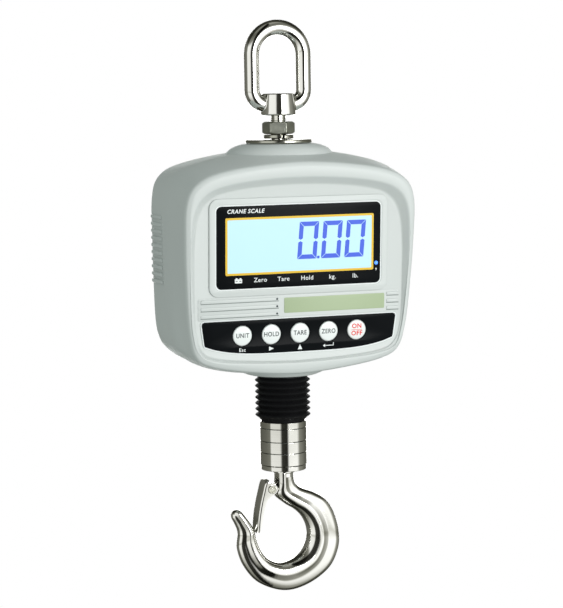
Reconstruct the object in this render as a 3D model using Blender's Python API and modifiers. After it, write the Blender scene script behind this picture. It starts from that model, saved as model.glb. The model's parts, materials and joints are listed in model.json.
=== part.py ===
"""Hanging crane scale: ring, load cell, display housing, bellows, swivel and safety hook.

Units are metres and +Z is up.  The origin is the hang point, at the inner crown of the ring.
+X is the right-hand side of the display and -Y is its front.
"""
import math

import bmesh
import bpy
from mathutils import Matrix, Vector

MM = 0.001
GAP = 0.3 * MM  # space left between pieces that touch

# Suspension eye and its fasteners
RING_WIRE_R = 5.75 * MM
RING_HALF_W = 20.5 * MM  # centreline to centreline is twice this
RING_DROP = 43.4 * MM  # hang point to the flat floor of the opening
RING_CORNER_R = 11.0 * MM
RING_SAG = 2.35 * MM  # the wire dips this far below the floor of the opening
EYE_BOSS_R = 13.0 * MM
EYE_BOSS_H = 16.4 * MM
EYE_BOSS_TOP_R = 11.8 * MM
SHANK_R = 6.0 * MM  # M12 stud, also used below the load cell and inside the swivel
SHANK_SHOWN = 4.6 * MM
NUT_ACROSS_CORNERS = 24.6 * MM
NUT_H = 9.3 * MM
SPRING_WASHER_R = 11.2 * MM
SPRING_WASHER_T = 3.4 * MM
WASHER_SPLIT = 1.2 * MM
FLAT_WASHER_R = 25.0 * MM
FLAT_WASHER_T = 2.8 * MM

# Housing
CASE_W = 184.6 * MM
CASE_H = 173.6 * MM  # collar face to collar face
FRONT_DEPTH = 46.6 * MM  # parting plane to the rim, at mid height
REAR_DEPTH = 40.0 * MM
WALL = 3.0 * MM
REAR_CORNER_R = 10.0 * MM
REAR_STEP = 1.0 * MM  # the rear shell is this much smaller all round
CROWN_DROP = 3.2 * MM  # collar face to the housing's own top line
SOLE_RISE = 2.4 * MM  # collar face to the housing's own bottom line
COLLAR_R = 27.0 * MM
COLLAR_FLARE = 9.5 * MM
TOP_BORE_R = 9.3 * MM
BOTTOM_BORE_R = 16.0 * MM
RIM_LEAN = math.radians(6.07)
FLOOR_LEAN = math.radians(3.15)
RECESS_DEPTH = 4.7 * MM  # rim to recess floor, at mid height
SEAL_W = 4.0 * MM
SEAL_T = 1.0 * MM
RIB_COUNT = 10
RIB_PITCH = 5.35 * MM
SCREW_R = 1.6 * MM
SCREW_HEAD_R = 3.6 * MM
SCREW_HEAD_T = 2.5 * MM
SCREW_SEAT_Y = 8.0 * MM
SCREW_SPACING_X = 144.0 * MM
SCREW_DROP = 33.2 * MM  # collar face to the upper screws
SCREW_RISE = 28.4 * MM  # collar face to the lower screws

# Display and keypad
WINDOW_W = 126.9 * MM
WINDOW_H = 60.2 * MM
WINDOW_T = 2.0 * MM
WINDOW_DROP = 73.8 * MM  # collar face to the window's middle
WINDOW_POCKET = 1.5 * MM
LIP_W = 5.6 * MM
LIP_H = 1.2 * MM
LCD_W = 115.0 * MM
LCD_H = 46.0 * MM
LCD_T = 2.8 * MM
BACKLIGHT_T = 5.0 * MM
HOLDER_WALL = 5.0 * MM
BOARD_T = 1.6 * MM
LED_X = 60.3 * MM
LED_R = 1.5 * MM
LED_DROP = 15.4 * MM  # window middle to the lamp
KEY_NAMES = ("key_unit", "key_hold", "key_tare", "key_zero", "key_power")
KEY_R = 7.25 * MM
KEY_PITCH = 22.5 * MM
KEY_RISE = 34.8 * MM  # collar face to the row of keys
KEY_CLEARANCE = 0.25 * MM
KEY_PROUD = 0.4 * MM
KEY_FLANGE = 1.3 * MM
KEY_FLANGE_T = 0.8 * MM
KEY_TRAVEL = 0.5 * MM
SWITCH_W = 7.0 * MM
SWITCH_H = 3.1 * MM
OVERLAY_T = 0.7 * MM
OVERLAY_W = 151.0 * MM
OVERLAY_H = 25.0 * MM

# Load cell, battery and socket
CELL_W = 51.0 * MM
CELL_H = 76.0 * MM
CELL_D = 25.4 * MM
CELL_DROP = 31.0 * MM
CELL_SLOT = 3.0 * MM
CELL_EYE_R = 10.5 * MM
THREAD_DEPTH = 14.0 * MM
BATTERY = (70.0 * MM, 15.0 * MM, 50.0 * MM)
DOOR_W = 92.0 * MM
DOOR_H = 64.0 * MM
DOOR_T = 2.0 * MM
DOOR_LEDGE = 5.0 * MM
DOOR_RISE = 49.0 * MM
DOOR_SCREW_R = 1.2 * MM
SOCKET_R = 4.0 * MM
SOCKET_X = 64.0 * MM
SOCKET_RISE = 74.0 * MM

# Knuckle, bellows and swivel
KNUCKLE_DROP = 9.6 * MM  # lower collar face to the knuckle pin
KNUCKLE_PIN_R = 4.0 * MM
FORK_W = 20.0 * MM
FORK_T = 22.0 * MM
TONGUE_T = 10.0 * MM
TONGUE_R = 8.0 * MM
BELLOWS_PEAK_R = 21.4 * MM
BELLOWS_VALLEY_R = 18.9 * MM
BELLOWS_WALL = 1.4 * MM
BELLOWS_FOLDS = 7
BELLOWS_H = 35.6 * MM
SWIVEL_R = 17.75 * MM
SWIVEL_WALL = 4.25 * MM
LOCK_RING_H = 4.7 * MM
SWIVEL_HEAD_H = 9.6 * MM
SLEEVE_H = 8.5 * MM
SEAT_H = 9.3 * MM
SEAT_FLOOR = 4.3 * MM
DUST_CAP_H = 3.8 * MM
RACE_T = 2.1 * MM
BALL_R = 1.6 * MM
BALL_COUNT = 8
HOOK_NUT_CORNERS = 19.6 * MM
HOOK_NUT_H = 8.0 * MM
NUT_PIN_R = 1.2 * MM

# Hook and latch
NECK_R = 7.1 * MM
NECK_COLLAR_R = 8.1 * MM
HOOK_TAPER = 0.14  # the section is this much thicker on the load side
HOOK_SOFTNESS = 0.8  # 1 gives an oval section, less squares it off
LATCH_PIN_R = 2.0 * MM
LATCH_PIN_X = -12.0 * MM
LATCH_PIN_DROP = 14.3 * MM  # dust cap's lower face to the latch pin
LATCH_SHEET = 1.2 * MM
LATCH_INNER_W = 11.6 * MM
LUG_R = 4.2 * MM
LUG_HALF_W = 2.7 * MM
SPRING_WIRE_R = 0.4 * MM
POCKET_R = 3.6 * MM  # room for the spring beside the lug
POCKET_H = 4.0 * MM
# Hook sections from the neck to the tip, in mm from the dust cap's lower face: the load side and the
# outer side as (x, z), and the thickness.
HOOK_SECTIONS = (
    ((-7.1, -2), (7.1, -2), 14.2),
    ((-7.3, -10.3), (7.7, -10.3), 14.2),
    ((-8.2, -19.3), (12.6, -15.2), 14.2),
    ((0.5, -27.3), (23.2, -19.6), 14.2),
    ((8.3, -32.4), (33.3, -26.3), 14.2),
    ((14.4, -39), (39.6, -36.1), 14.4),
    ((18.1, -48.3), (43.7, -51.3), 15),
    ((17.2, -58.3), (43, -65.1), 15.4),
    ((12, -66.7), (35.4, -79.7), 15.6),
    ((3.5, -71.4), (18, -90.9), 15.6),
    ((-5.5, -72.2), (-1.5, -94.3), 15.2),
    ((-14.7, -68.1), (-21.6, -86.7), 14.4),
    ((-20.3, -61.1), (-33.4, -73.3), 13.4),
    ((-23.7, -52.1), (-38.6, -58.9), 12.4),
    ((-25.4, -45.4), (-38.2, -45.7), 11.6),
    ((-31.6, -36.7), (-41.4, -36.9), 10.8),
    ((-36.4, -32.1), (-42.6, -33.3), 9),
)

# Heights worked down from the hang point
BOSS_BOTTOM = -(RING_DROP + EYE_BOSS_H)
NUT_TOP = BOSS_BOTTOM - SHANK_SHOWN
SPRING_WASHER_TOP = NUT_TOP - NUT_H - GAP
FLAT_WASHER_TOP = SPRING_WASHER_TOP - SPRING_WASHER_T - GAP
CASE_TOP = FLAT_WASHER_TOP - FLAT_WASHER_T - GAP
CASE_BOTTOM = CASE_TOP - CASE_H
CROWN_Z = CASE_TOP - CROWN_DROP
SOLE_Z = CASE_BOTTOM + SOLE_RISE
MID_Z = (CROWN_Z + SOLE_Z) / 2
WINDOW_Z = CASE_TOP - WINDOW_DROP
KEY_Z = CASE_BOTTOM + KEY_RISE
CELL_TOP = CASE_TOP - CELL_DROP
CELL_BOTTOM = CELL_TOP - CELL_H
KNUCKLE_Z = CASE_BOTTOM - KNUCKLE_DROP
FORK_TOP = KNUCKLE_Z + TONGUE_R + 6 * MM
FORK_BOTTOM = KNUCKLE_Z - TONGUE_R
BELLOWS_TOP = CASE_BOTTOM - GAP
LOCK_RING_TOP = BELLOWS_TOP - BELLOWS_H - GAP
HEAD_TOP = LOCK_RING_TOP - LOCK_RING_H - GAP
SLEEVE_TOP = HEAD_TOP - SWIVEL_HEAD_H - GAP
SEAT_TOP = SLEEVE_TOP - SLEEVE_H - GAP
DUST_CAP_TOP = SEAT_TOP - SEAT_H - GAP
DUST_CAP_BOTTOM = DUST_CAP_TOP - DUST_CAP_H
LOWER_RACE_TOP = SEAT_TOP - SEAT_H + SEAT_FLOOR + GAP + RACE_T
BALL_Z = LOWER_RACE_TOP + GAP + BALL_R
UPPER_RACE_TOP = BALL_Z + BALL_R + GAP + RACE_T
HOOK_NUT_TOP = UPPER_RACE_TOP + GAP + HOOK_NUT_H
LATCH_PIN_Z = DUST_CAP_BOTTOM - LATCH_PIN_DROP
BORE_R = SHANK_R + GAP
NECK_BORE_R = NECK_R + GAP
BEARING_R = SWIVEL_R - SWIVEL_WALL - GAP
RECESS_FRONT = WALL + GAP  # behind the recess floor, where the display parts begin

HALF_W = CASE_W / 2
# Each outline is (distance in from its side, distance down from its top) for the upper half and
# (distance in from its side, distance up from its bottom) for the lower half; None is the middle.
BODY_UPPER = ((None, 0), (54, 5), (21, 12), (10, 16.5), (3.3, 24), (0.3, 37), (0, 66))
BODY_LOWER = ((0.3, 71), (1.3, 40), (2.8, 30), (6.3, 21.5), (14.3, 13.5), (26, 7), (52, 1.5), (None, 0))
BEZEL_UPPER = ((None, 8.3), (56, 10.6), (28, 15.2), (15.3, 20), (6.8, 27.5), (2.8, 39), (2.3, 66))
BEZEL_LOWER = ((3.6, 71), (5.7, 43), (7.5, 31), (10, 21), (14.8, 14), (25.3, 9.2), (54, 4), (None, 1))
RECESS_UPPER = ((None, 20.3), (58, 21.8), (34, 25.2), (22, 29), (13.8, 35.5), (9.1, 46), (7.3, 66))
RECESS_LOWER = ((7.7, 71), (9.1, 43), (10.5, 33), (12.9, 24), (18.3, 17.5), (29, 14), (56, 11.4), (None, 10.2))
FLOOR_UPPER = ((None, 25.9), (60, 27.2), (38, 30), (26, 33.6), (18.3, 40), (13.7, 50), (11.3, 68))
FLOOR_LOWER = ((11, 71), (11.5, 44), (12.7, 34.5), (14.9, 26), (19.8, 19.6), (30, 16), (56.8, 13.2), (None, 11.8))
SAMPLES_PER_SPAN = 2
ROUND = 32  # facets round a large turned piece
FINE = 20  # and round a small one
HOLE = 12  # and round a hidden hole

FINISHES = {  # colour, roughness, metallic
    "polished_steel": ((0.72, 0.72, 0.71), 0.16, 1.0),
    "zinc": ((0.52, 0.53, 0.53), 0.42, 1.0),
    "shell": ((0.66, 0.70, 0.69), 0.42, 0.0),
    "rubber": ((0.018, 0.018, 0.02), 0.62, 0.0),
    "black_gloss": ((0.01, 0.01, 0.012), 0.12, 0.0),
    "lcd": ((0.55, 0.83, 0.93), 0.20, 0.0),
    "white_plastic": ((0.86, 0.87, 0.86), 0.35, 0.0),
    "key_white": ((0.88, 0.88, 0.87), 0.38, 0.0),
    "board": ((0.03, 0.22, 0.10), 0.45, 0.0),
    "alloy": ((0.70, 0.71, 0.73), 0.35, 1.0),
    "blue_lamp": ((0.05, 0.10, 0.85), 0.20, 0.0),
    "cable": ((0.10, 0.10, 0.11), 0.55, 0.0),
    "battery_wrap": ((0.05, 0.16, 0.42), 0.35, 0.0),
}


def clear_scene():
    for item in list(bpy.data.objects):
        bpy.data.objects.remove(item, do_unlink=True)


def new_collection(name):
    made = bpy.data.collections.new(name)
    bpy.context.scene.collection.children.link(made)
    return made


def finish(name, kind):
    """Make one piece's own material."""
    colour, roughness, metallic = FINISHES[kind]
    made = bpy.data.materials.new(name)
    made.use_nodes = True
    shader = made.node_tree.nodes["Principled BSDF"]
    shader.inputs["Base Color"].default_value = (*colour, 1.0)
    shader.inputs["Roughness"].default_value = roughness
    shader.inputs["Metallic"].default_value = metallic
    made.diffuse_color = (*colour, 1.0)
    return made


def place(name, data, frame, kind):
    """Add an object; kind None makes it a cutter."""
    item = bpy.data.objects.new(name, data)
    item.matrix_world = frame
    if kind is None:
        CUTTERS.objects.link(item)
        item.display_type = "WIRE"
        item.hide_render = True
    else:
        PARTS.objects.link(item)
        data.materials.append(finish(name, kind))
    return item


def at(x, y, z):
    return Matrix.Translation((x, y, z))


def along_y(x, y, z):
    """A frame whose own +Z points along the object's -Y."""
    return at(x, y, z) @ Matrix.Rotation(math.radians(90), 4, "X")


def floor_y(z):
    """Depth of the recess floor at height z."""
    return RECESS_DEPTH - FRONT_DEPTH - (z - MID_Z) * math.tan(FLOOR_LEAN)


def rim_y(z):
    return -FRONT_DEPTH - (z - MID_Z) * math.tan(RIM_LEAN)


def on_face(x, z, height=0.0):
    """A frame on the recess floor, its own +Z out of the floor and +Y up along it."""
    turn = Matrix.Rotation(math.radians(90) + FLOOR_LEAN, 4, "X")
    return at(x, floor_y(z), z) @ turn @ at(0, 0, height)


def smooth(data):
    data.shade_smooth()
    data.set_sharp_from_angle(angle=math.radians(35))
    return data


def mesh_from(name, build):
    mesh = bmesh.new()
    build(mesh)
    data = bpy.data.meshes.new(name)
    mesh.to_mesh(data)
    mesh.free()
    return smooth(data)


def block(name, size, frame, kind=None):
    def build(mesh):
        bmesh.ops.create_cube(mesh, size=1.0, matrix=Matrix.Diagonal((*size, 1.0)))
    return place(name, mesh_from(name, build), frame, kind)


def rod(name, radius, length, frame, kind=None, sides=32):
    """A cylinder or, with 6 sides, a hexagon bar, centred on its frame."""
    def build(mesh):
        bmesh.ops.create_cone(mesh, cap_ends=True, segments=sides, radius1=radius, radius2=radius, depth=length)
    return place(name, mesh_from(name, build), frame, kind)


def turned(name, profile, frame, kind=None, closed=False, sides=ROUND):
    """Turn a profile of (radius, height) about the frame's own Z axis, outer side from top to bottom."""
    data = bpy.data.meshes.new(name)
    count = len(profile)
    last = count if closed else count - 1
    edges = [(i, (i + 1) % count) for i in range(last)]
    data.from_pydata([(radius, 0.0, height) for radius, height in profile], edges, [])
    item = place(name, data, frame, kind)
    screw = item.modifiers.new("turn", "SCREW")
    screw.steps = sides
    screw.render_steps = sides
    screw.use_merge_vertices = True
    screw.merge_threshold = 0.00001
    screw.use_smooth_shade = True
    return item


def ring(name, outer, inner, height, top, kind=None, sides=ROUND):
    profile = ((outer, 0), (outer, -height), (inner, -height), (inner, 0))
    return turned(name, profile, at(0, 0, top), kind, closed=True, sides=sides)


def curve_solid(name, data, frame, kind):
    """Turn a curve into a closed mesh object."""
    guide = bpy.data.objects.new(name + "_guide", data)
    bpy.context.scene.collection.objects.link(guide)
    bpy.context.view_layer.update()
    evaluated = guide.evaluated_get(bpy.context.evaluated_depsgraph_get())
    solid = bpy.data.meshes.new_from_object(evaluated)
    bpy.data.objects.remove(guide, do_unlink=True)
    mesh = bmesh.new()
    mesh.from_mesh(solid)
    bmesh.ops.remove_doubles(mesh, verts=mesh.verts, dist=0.000005)
    bmesh.ops.recalc_face_normals(mesh, faces=mesh.faces)
    mesh.to_mesh(solid)
    mesh.free()
    solid.materials.clear()
    return place(name, smooth(solid), frame, kind)


def extruded(name, outline, thickness, frame, kind=None):
    """A flat outline in the frame's own XY plane, thickened both ways."""
    data = bpy.data.curves.new(name, "CURVE")
    data.dimensions = "2D"
    data.fill_mode = "BOTH"
    data.extrude = thickness / 2
    spline = data.splines.new("POLY")
    spline.points.add(len(outline) - 1)
    for point, (x, y) in zip(spline.points, outline):
        point.co = (x, y, 0.0, 1.0)
    spline.use_cyclic_u = True
    return curve_solid(name, data, frame, kind)


def wire(name, points, radius, frame, kind=None, closed=False, roundness=2):
    data = bpy.data.curves.new(name, "CURVE")
    data.dimensions = "3D"
    data.bevel_depth = radius
    data.bevel_resolution = roundness
    data.use_fill_caps = True
    spline = data.splines.new("POLY")
    spline.points.add(len(points) - 1)
    for point, place_of in zip(spline.points, points):
        point.co = (*place_of, 1.0)
    spline.use_cyclic_u = closed
    return curve_solid(name, data, frame, kind)


def loft(name, rings, frame, kind=None):
    """Skin a run of rings with equal point counts and close both ends."""
    def build(mesh):
        rows = [[mesh.verts.new(point) for point in row] for row in rings]
        count = len(rings[0])
        for near, far in zip(rows, rows[1:]):
            for i in range(count):
                j = (i + 1) % count
                mesh.faces.new((near[i], near[j], far[j], far[i]))
        mesh.faces.new(rows[0])
        mesh.faces.new(rows[-1])
        bmesh.ops.recalc_face_normals(mesh, faces=mesh.faces)
        bmesh.ops.triangulate(mesh, faces=mesh.faces)
    return place(name, mesh_from(name, build), frame, kind)


def combine(item, other, operation):
    step = item.modifiers.new(other.name, "BOOLEAN")
    step.operation = operation
    step.solver = "EXACT"
    step.object = other


def cut(item, *cutters):
    for cutter in cutters:
        combine(item, cutter, "DIFFERENCE")


def join(item, *additions):
    for addition in additions:
        combine(item, addition, "UNION")


def arc(centre_x, centre_y, radius, start, end, steps):
    """Points on an arc, with angles in degrees."""
    angles = [math.radians(start + (end - start) * i / steps) for i in range(steps + 1)]
    return [(centre_x + radius * math.cos(a), centre_y + radius * math.sin(a)) for a in angles]


def between(before, start, end, after, t):
    """A point on the centripetal Catmull-Rom curve from start to end."""
    points = [Vector(p) for p in (before, start, end, after)]
    knots = [0.0]
    for first, second in zip(points, points[1:]):
        knots.append(knots[-1] + max((second - first).length, 1e-9) ** 0.5)
    place_of = knots[1] + (knots[2] - knots[1]) * t
    for lefts, rights in (((0, 1, 2), (1, 2, 3)), ((0, 1), (2, 3)), ((1,), (2,))):
        points = [
            near.lerp(far, (place_of - knots[i]) / (knots[j] - knots[i]))
            for near, far, i, j in zip(points, points[1:], lefts, rights)
        ]
    return points[0]


def outline(upper, lower):
    """Sample the closed loop of a symmetric outline, clockwise from the top middle."""
    half = []
    for side, drop in upper:
        half.append((0.0 if side is None else HALF_W - side * MM, CROWN_Z - drop * MM))
    for side, rise in lower:
        half.append((0.0 if side is None else HALF_W - side * MM, SOLE_Z + rise * MM))
    loop = half + [(-x, z) for x, z in reversed(half[1:-1])]
    count = len(loop)
    points = []
    for i in range(count):
        span = [loop[(i + k - 1) % count] for k in range(4)]
        points += [between(*span, s / SAMPLES_PER_SPAN) for s in range(SAMPLES_PER_SPAN)]
    return points


def inset(points, distance):
    """Move every point of a clockwise loop inwards."""
    count = len(points)
    moved = []
    for i, point in enumerate(points):
        along = (points[(i + 1) % count] - points[i - 1]).normalized()
        moved.append(point + Vector((along.y, -along.x)) * distance)
    return moved


def blend(first, second, share):
    return [a.lerp(b, share) for a, b in zip(first, second)]


def station(points, depth):
    """Stand a flat loop up in space; depth is a number or a function of height."""
    return [(p.x, depth(p.y) if callable(depth) else depth, p.y) for p in points]


def front_shell():
    body = outline(BODY_UPPER, BODY_LOWER)
    bezel = outline(BEZEL_UPPER, BEZEL_LOWER)
    recess = outline(RECESS_UPPER, RECESS_LOWER)
    floor = outline(FLOOR_UPPER, FLOOR_LOWER)
    inner = inset(body, WALL)
    edge = -GAP / 2
    rings = [
        station(inset(bezel, 2 * WALL), lambda z: floor_y(z) + WALL),
        station(inset(blend(body, bezel, 0.6), WALL), lambda z: floor_y(z) + 4 * WALL),
        station(inner, edge),
        station(body, edge),
        station(inset(body, 0.1 * WALL), edge - 14 * MM),
        station(blend(body, bezel, 0.75), lambda z: rim_y(z) + 12 * MM),
        station(bezel, lambda z: rim_y(z) + 4.5 * MM),
        station(inset(bezel, 1.3 * MM), lambda z: rim_y(z) + 1.3 * MM),
        station(inset(bezel, 4.2 * MM), rim_y),
        station(inset(recess, -0.8 * MM), rim_y),
        station(floor, floor_y),
    ]
    shell = loft("front_shell", rings, at(0, 0, 0), "shell")
    join(shell, *collars("front", edge, -1))
    cut(shell, *stud_bores("front"))
    lip_size = (WINDOW_W + 2 * LIP_W, WINDOW_H + 2 * LIP_W, 2 * LIP_H)
    lip = block("lip_add", lip_size, on_face(0, WINDOW_Z))
    rounding = lip.modifiers.new("corners", "BEVEL")
    rounding.width = 0.8 * LIP_H
    rounding.segments = 2
    join(shell, lip)
    for x, z in screw_places():
        back = floor_y(z) + 0.5 * WALL
        length = edge - back
        join(shell, rod("front_boss", 1.2 * SCREW_HEAD_R, length, along_y(x, back + length / 2, z), sides=HOLE))
        cut(shell, rod("front_pilot", SCREW_R + GAP, 28 * MM, along_y(x, 0, z), sides=HOLE))
    pocket = (WINDOW_W + 2 * GAP, WINDOW_H + 2 * GAP, 2 * WINDOW_POCKET + 4 * LIP_H)
    cut(shell, block("window_pocket", pocket, on_face(0, WINDOW_Z, 2 * LIP_H)))
    view = (LCD_W - 6 * MM, LCD_H - 2 * MM, 4 * WALL)
    cut(shell, block("window_view", view, on_face(0, WINDOW_Z)))
    cut(shell, rod("led_hole", LED_R + GAP, 4 * WALL, on_face(LED_X, WINDOW_Z - LED_DROP), sides=HOLE))
    for i, x in enumerate(key_places()):
        cut(shell, rod(f"key_hole_{i}", KEY_R + KEY_CLEARANCE, 4 * WALL, on_face(x, KEY_Z), sides=FINE))
    return shell


def rear_shell():
    body = inset(outline(BODY_UPPER, BODY_LOWER), REAR_STEP)
    edge = GAP / 2
    corner = REAR_CORNER_R
    rings = [
        station(inset(body, corner + 1 * MM), REAR_DEPTH - WALL),
        station(inset(body, WALL + 2 * MM), REAR_DEPTH - corner),
        station(inset(body, WALL), edge),
        station(body, edge),
    ]
    steps = 3
    for i in range(steps + 1):
        angle = math.radians(90) * i / steps
        depth = REAR_DEPTH - corner * (1 - math.sin(angle))
        rings.append(station(inset(body, 0.3 * MM + corner * (1 - math.cos(angle))), depth))
    shell = loft("rear_shell", rings, at(0, 0, 0), "shell")
    join(shell, *collars("rear", edge, 1))
    cut(shell, *stud_bores("rear"))
    for x, z in screw_places():
        length = REAR_DEPTH - 0.5 * WALL - edge
        boss = rod("rear_boss", SCREW_HEAD_R + 2.4 * MM, length, along_y(x, edge + length / 2, z), sides=HOLE)
        join(shell, boss)
        well = REAR_DEPTH - SCREW_SEAT_Y + 2 * WALL
        cut(shell, rod("rear_well", SCREW_HEAD_R + GAP, well, along_y(x, SCREW_SEAT_Y + well / 2, z), sides=HOLE))
        cut(shell, rod("rear_pilot", SCREW_R + GAP, 20 * MM, along_y(x, 2 * MM, z), sides=HOLE))
    for side in (-1, 1):
        for i in range(RIB_COUNT + 1):
            z = MID_Z + 10.6 * MM + (RIB_COUNT / 2 - i) * RIB_PITCH
            size = (3.2 * MM, REAR_DEPTH - 14 * MM, 0.45 * RIB_PITCH)
            where = at(side * (HALF_W - REAR_STEP + 0.2 * MM), 4 * MM + size[1] / 2, z)
            cut(shell, block("rib_groove", size, where))
    door_z = CASE_BOTTOM + DOOR_RISE
    door_y = REAR_DEPTH - DOOR_T - GAP
    for side in (-1, 1):
        boss = rod("door_boss", 4 * MM, 9 * MM, along_y(side * door_screw_x(), door_y - 3.7 * MM, door_z), sides=HOLE)
        join(shell, boss)
    pocket = (DOOR_W + 2 * GAP, 2 * (DOOR_T + GAP), DOOR_H + 2 * GAP)
    cut(shell, block("door_pocket", pocket, at(0, REAR_DEPTH, door_z)))
    through = (DOOR_W - 4 * DOOR_LEDGE, 6 * WALL, DOOR_H - 2 * DOOR_LEDGE)
    cut(shell, block("door_opening", through, at(0, REAR_DEPTH, door_z)))
    for side in (-1, 1):
        hole = rod("door_pilot", DOOR_SCREW_R + GAP, 12 * MM, along_y(side * door_screw_x(), door_y, door_z), sides=12)
        cut(shell, hole)
    socket_z = CASE_BOTTOM + SOCKET_RISE
    cut(shell, rod("socket_hole", SOCKET_R + GAP, 6 * WALL, along_y(SOCKET_X, REAR_DEPTH, socket_z), sides=FINE))
    cut(shell, rod("cap_pocket", SOCKET_R + 3 * MM, 4 * MM, along_y(SOCKET_X, REAR_DEPTH, socket_z), sides=FINE))
    return shell


def gasket(name, side):
    """Sealing strip against the inside of the walls, across the seam, down one side."""
    body = inset(outline(BODY_UPPER, BODY_LOWER), REAR_STEP)
    outer = inset(body, WALL + GAP)
    inner = inset(body, WALL + GAP + SEAL_T)
    sections = []
    for near, far in zip(outer, inner):
        if side * near.x > COLLAR_R + COLLAR_FLARE + GAP:
            corners = ((near, -SEAL_W / 2), (near, SEAL_W / 2), (far, SEAL_W / 2), (far, -SEAL_W / 2))
            sections.append([(point.x, depth, point.y) for point, depth in corners])
    return loft(name, sections, at(0, 0, 0), "rubber")


def collars(half, edge, side):
    """The two turned collars, cut back to one side of the parting plane and bored for the studs."""
    top_profile = (
        (0, 0), (COLLAR_R, 0), (COLLAR_R + 2 * MM, -0.6 * MM), (COLLAR_R + 5 * MM, -2.6 * MM),
        (COLLAR_R + COLLAR_FLARE, -6.6 * MM), (COLLAR_R + COLLAR_FLARE, -12.5 * MM),
        (0, -12.5 * MM),
    )
    rise = SOLE_RISE + WALL
    bottom_profile = (
        (0, rise), (COLLAR_R + COLLAR_FLARE, rise), (COLLAR_R + COLLAR_FLARE, SOLE_RISE + 0.8 * MM),
        (COLLAR_R + 5 * MM, 1.6 * MM), (COLLAR_R + 3 * MM, 0.6 * MM), (COLLAR_R, 0), (0, 0),
    )
    pieces = []
    for name, profile, z in (("top", top_profile, CASE_TOP), ("bottom", bottom_profile, CASE_BOTTOM)):
        collar = turned(f"{name}_collar_{half}", profile, at(0, 0, z), sides=ROUND)
        size = 4 * COLLAR_R
        cut(collar, block(f"{name}_halver_{half}", (size, size, size), at(0, edge - side * size / 2, z)))
        pieces.append(collar)
    return pieces


def stud_bores(half):
    """Cutters that open the housing for the eye's stud and for the knuckle."""
    depth = 2 * (CROWN_DROP + 4 * WALL)
    top = rod(f"top_bore_{half}", TOP_BORE_R, depth, at(0, 0, CASE_TOP), sides=ROUND)
    bottom = rod(f"bottom_bore_{half}", BOTTOM_BORE_R, depth, at(0, 0, CASE_BOTTOM), sides=ROUND)
    return top, bottom


def screw_places():
    return [
        (side * SCREW_SPACING_X / 2, z)
        for side in (-1, 1)
        for z in (CASE_TOP - SCREW_DROP, CASE_BOTTOM + SCREW_RISE)
    ]


def key_places():
    middle = (len(KEY_NAMES) - 1) / 2
    return [(i - middle) * KEY_PITCH for i in range(len(KEY_NAMES))]


def door_screw_x():
    return DOOR_W / 2 - DOOR_LEDGE


def shell_fittings():
    """Gasket, case screws, battery, door and charging socket."""
    for side, word in ((-1, "left"), (1, "right")):
        gasket(f"shell_gasket_{word}", side)
    head = ((0, 0), (SCREW_HEAD_R, 0), (SCREW_HEAD_R, -SCREW_HEAD_T), (SCREW_R, -SCREW_HEAD_T))
    for i, (x, z) in enumerate(screw_places(), start=1):
        frame = at(x, SCREW_SEAT_Y + GAP + SCREW_HEAD_T, z) @ Matrix.Rotation(math.radians(-90), 4, "X")
        profile = head + ((SCREW_R, -20 * MM), (0, -20 * MM))
        turned(f"case_screw_{i}", profile, frame, "zinc", sides=FINE)
    door_z = CASE_BOTTOM + DOOR_RISE
    block("battery_pack", BATTERY, at(0, REAR_DEPTH - WALL - 3 * MM - BATTERY[1] / 2, door_z), "battery_wrap")
    door = block("battery_door", (DOOR_W, DOOR_T, DOOR_H), at(0, REAR_DEPTH - DOOR_T / 2, door_z), "shell")
    counterbore = DOOR_SCREW_R + 1.5 * MM
    for i, side in enumerate((-1, 1), start=1):
        x = side * door_screw_x()
        cut(door, rod("door_hole", DOOR_SCREW_R + GAP, 6 * MM, along_y(x, REAR_DEPTH, door_z), sides=HOLE))
        cut(door, rod("door_sink", counterbore + GAP, 2.2 * MM, along_y(x, REAR_DEPTH, door_z), sides=HOLE))
        profile = ((0, 0), (counterbore, 0), (counterbore, -0.6 * MM), (DOOR_SCREW_R, -0.6 * MM),
                   (DOOR_SCREW_R, -6.5 * MM), (0, -6.5 * MM))
        frame = at(x, REAR_DEPTH - 0.2 * MM, door_z) @ Matrix.Rotation(math.radians(-90), 4, "X")
        turned(f"battery_door_screw_{i}", profile, frame, "zinc", sides=FINE)
    socket_z = CASE_BOTTOM + SOCKET_RISE
    rod("charge_socket", SOCKET_R, 14 * MM, along_y(SOCKET_X, REAR_DEPTH - 2.3 * MM - 7 * MM, socket_z), "black_gloss", FINE)
    cap_r = SOCKET_R + 3 * MM - GAP
    rod("charge_cap", cap_r, 1.6 * MM, along_y(SOCKET_X, REAR_DEPTH - 0.1 * MM - 0.8 * MM, socket_z), "rubber", FINE)


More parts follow.
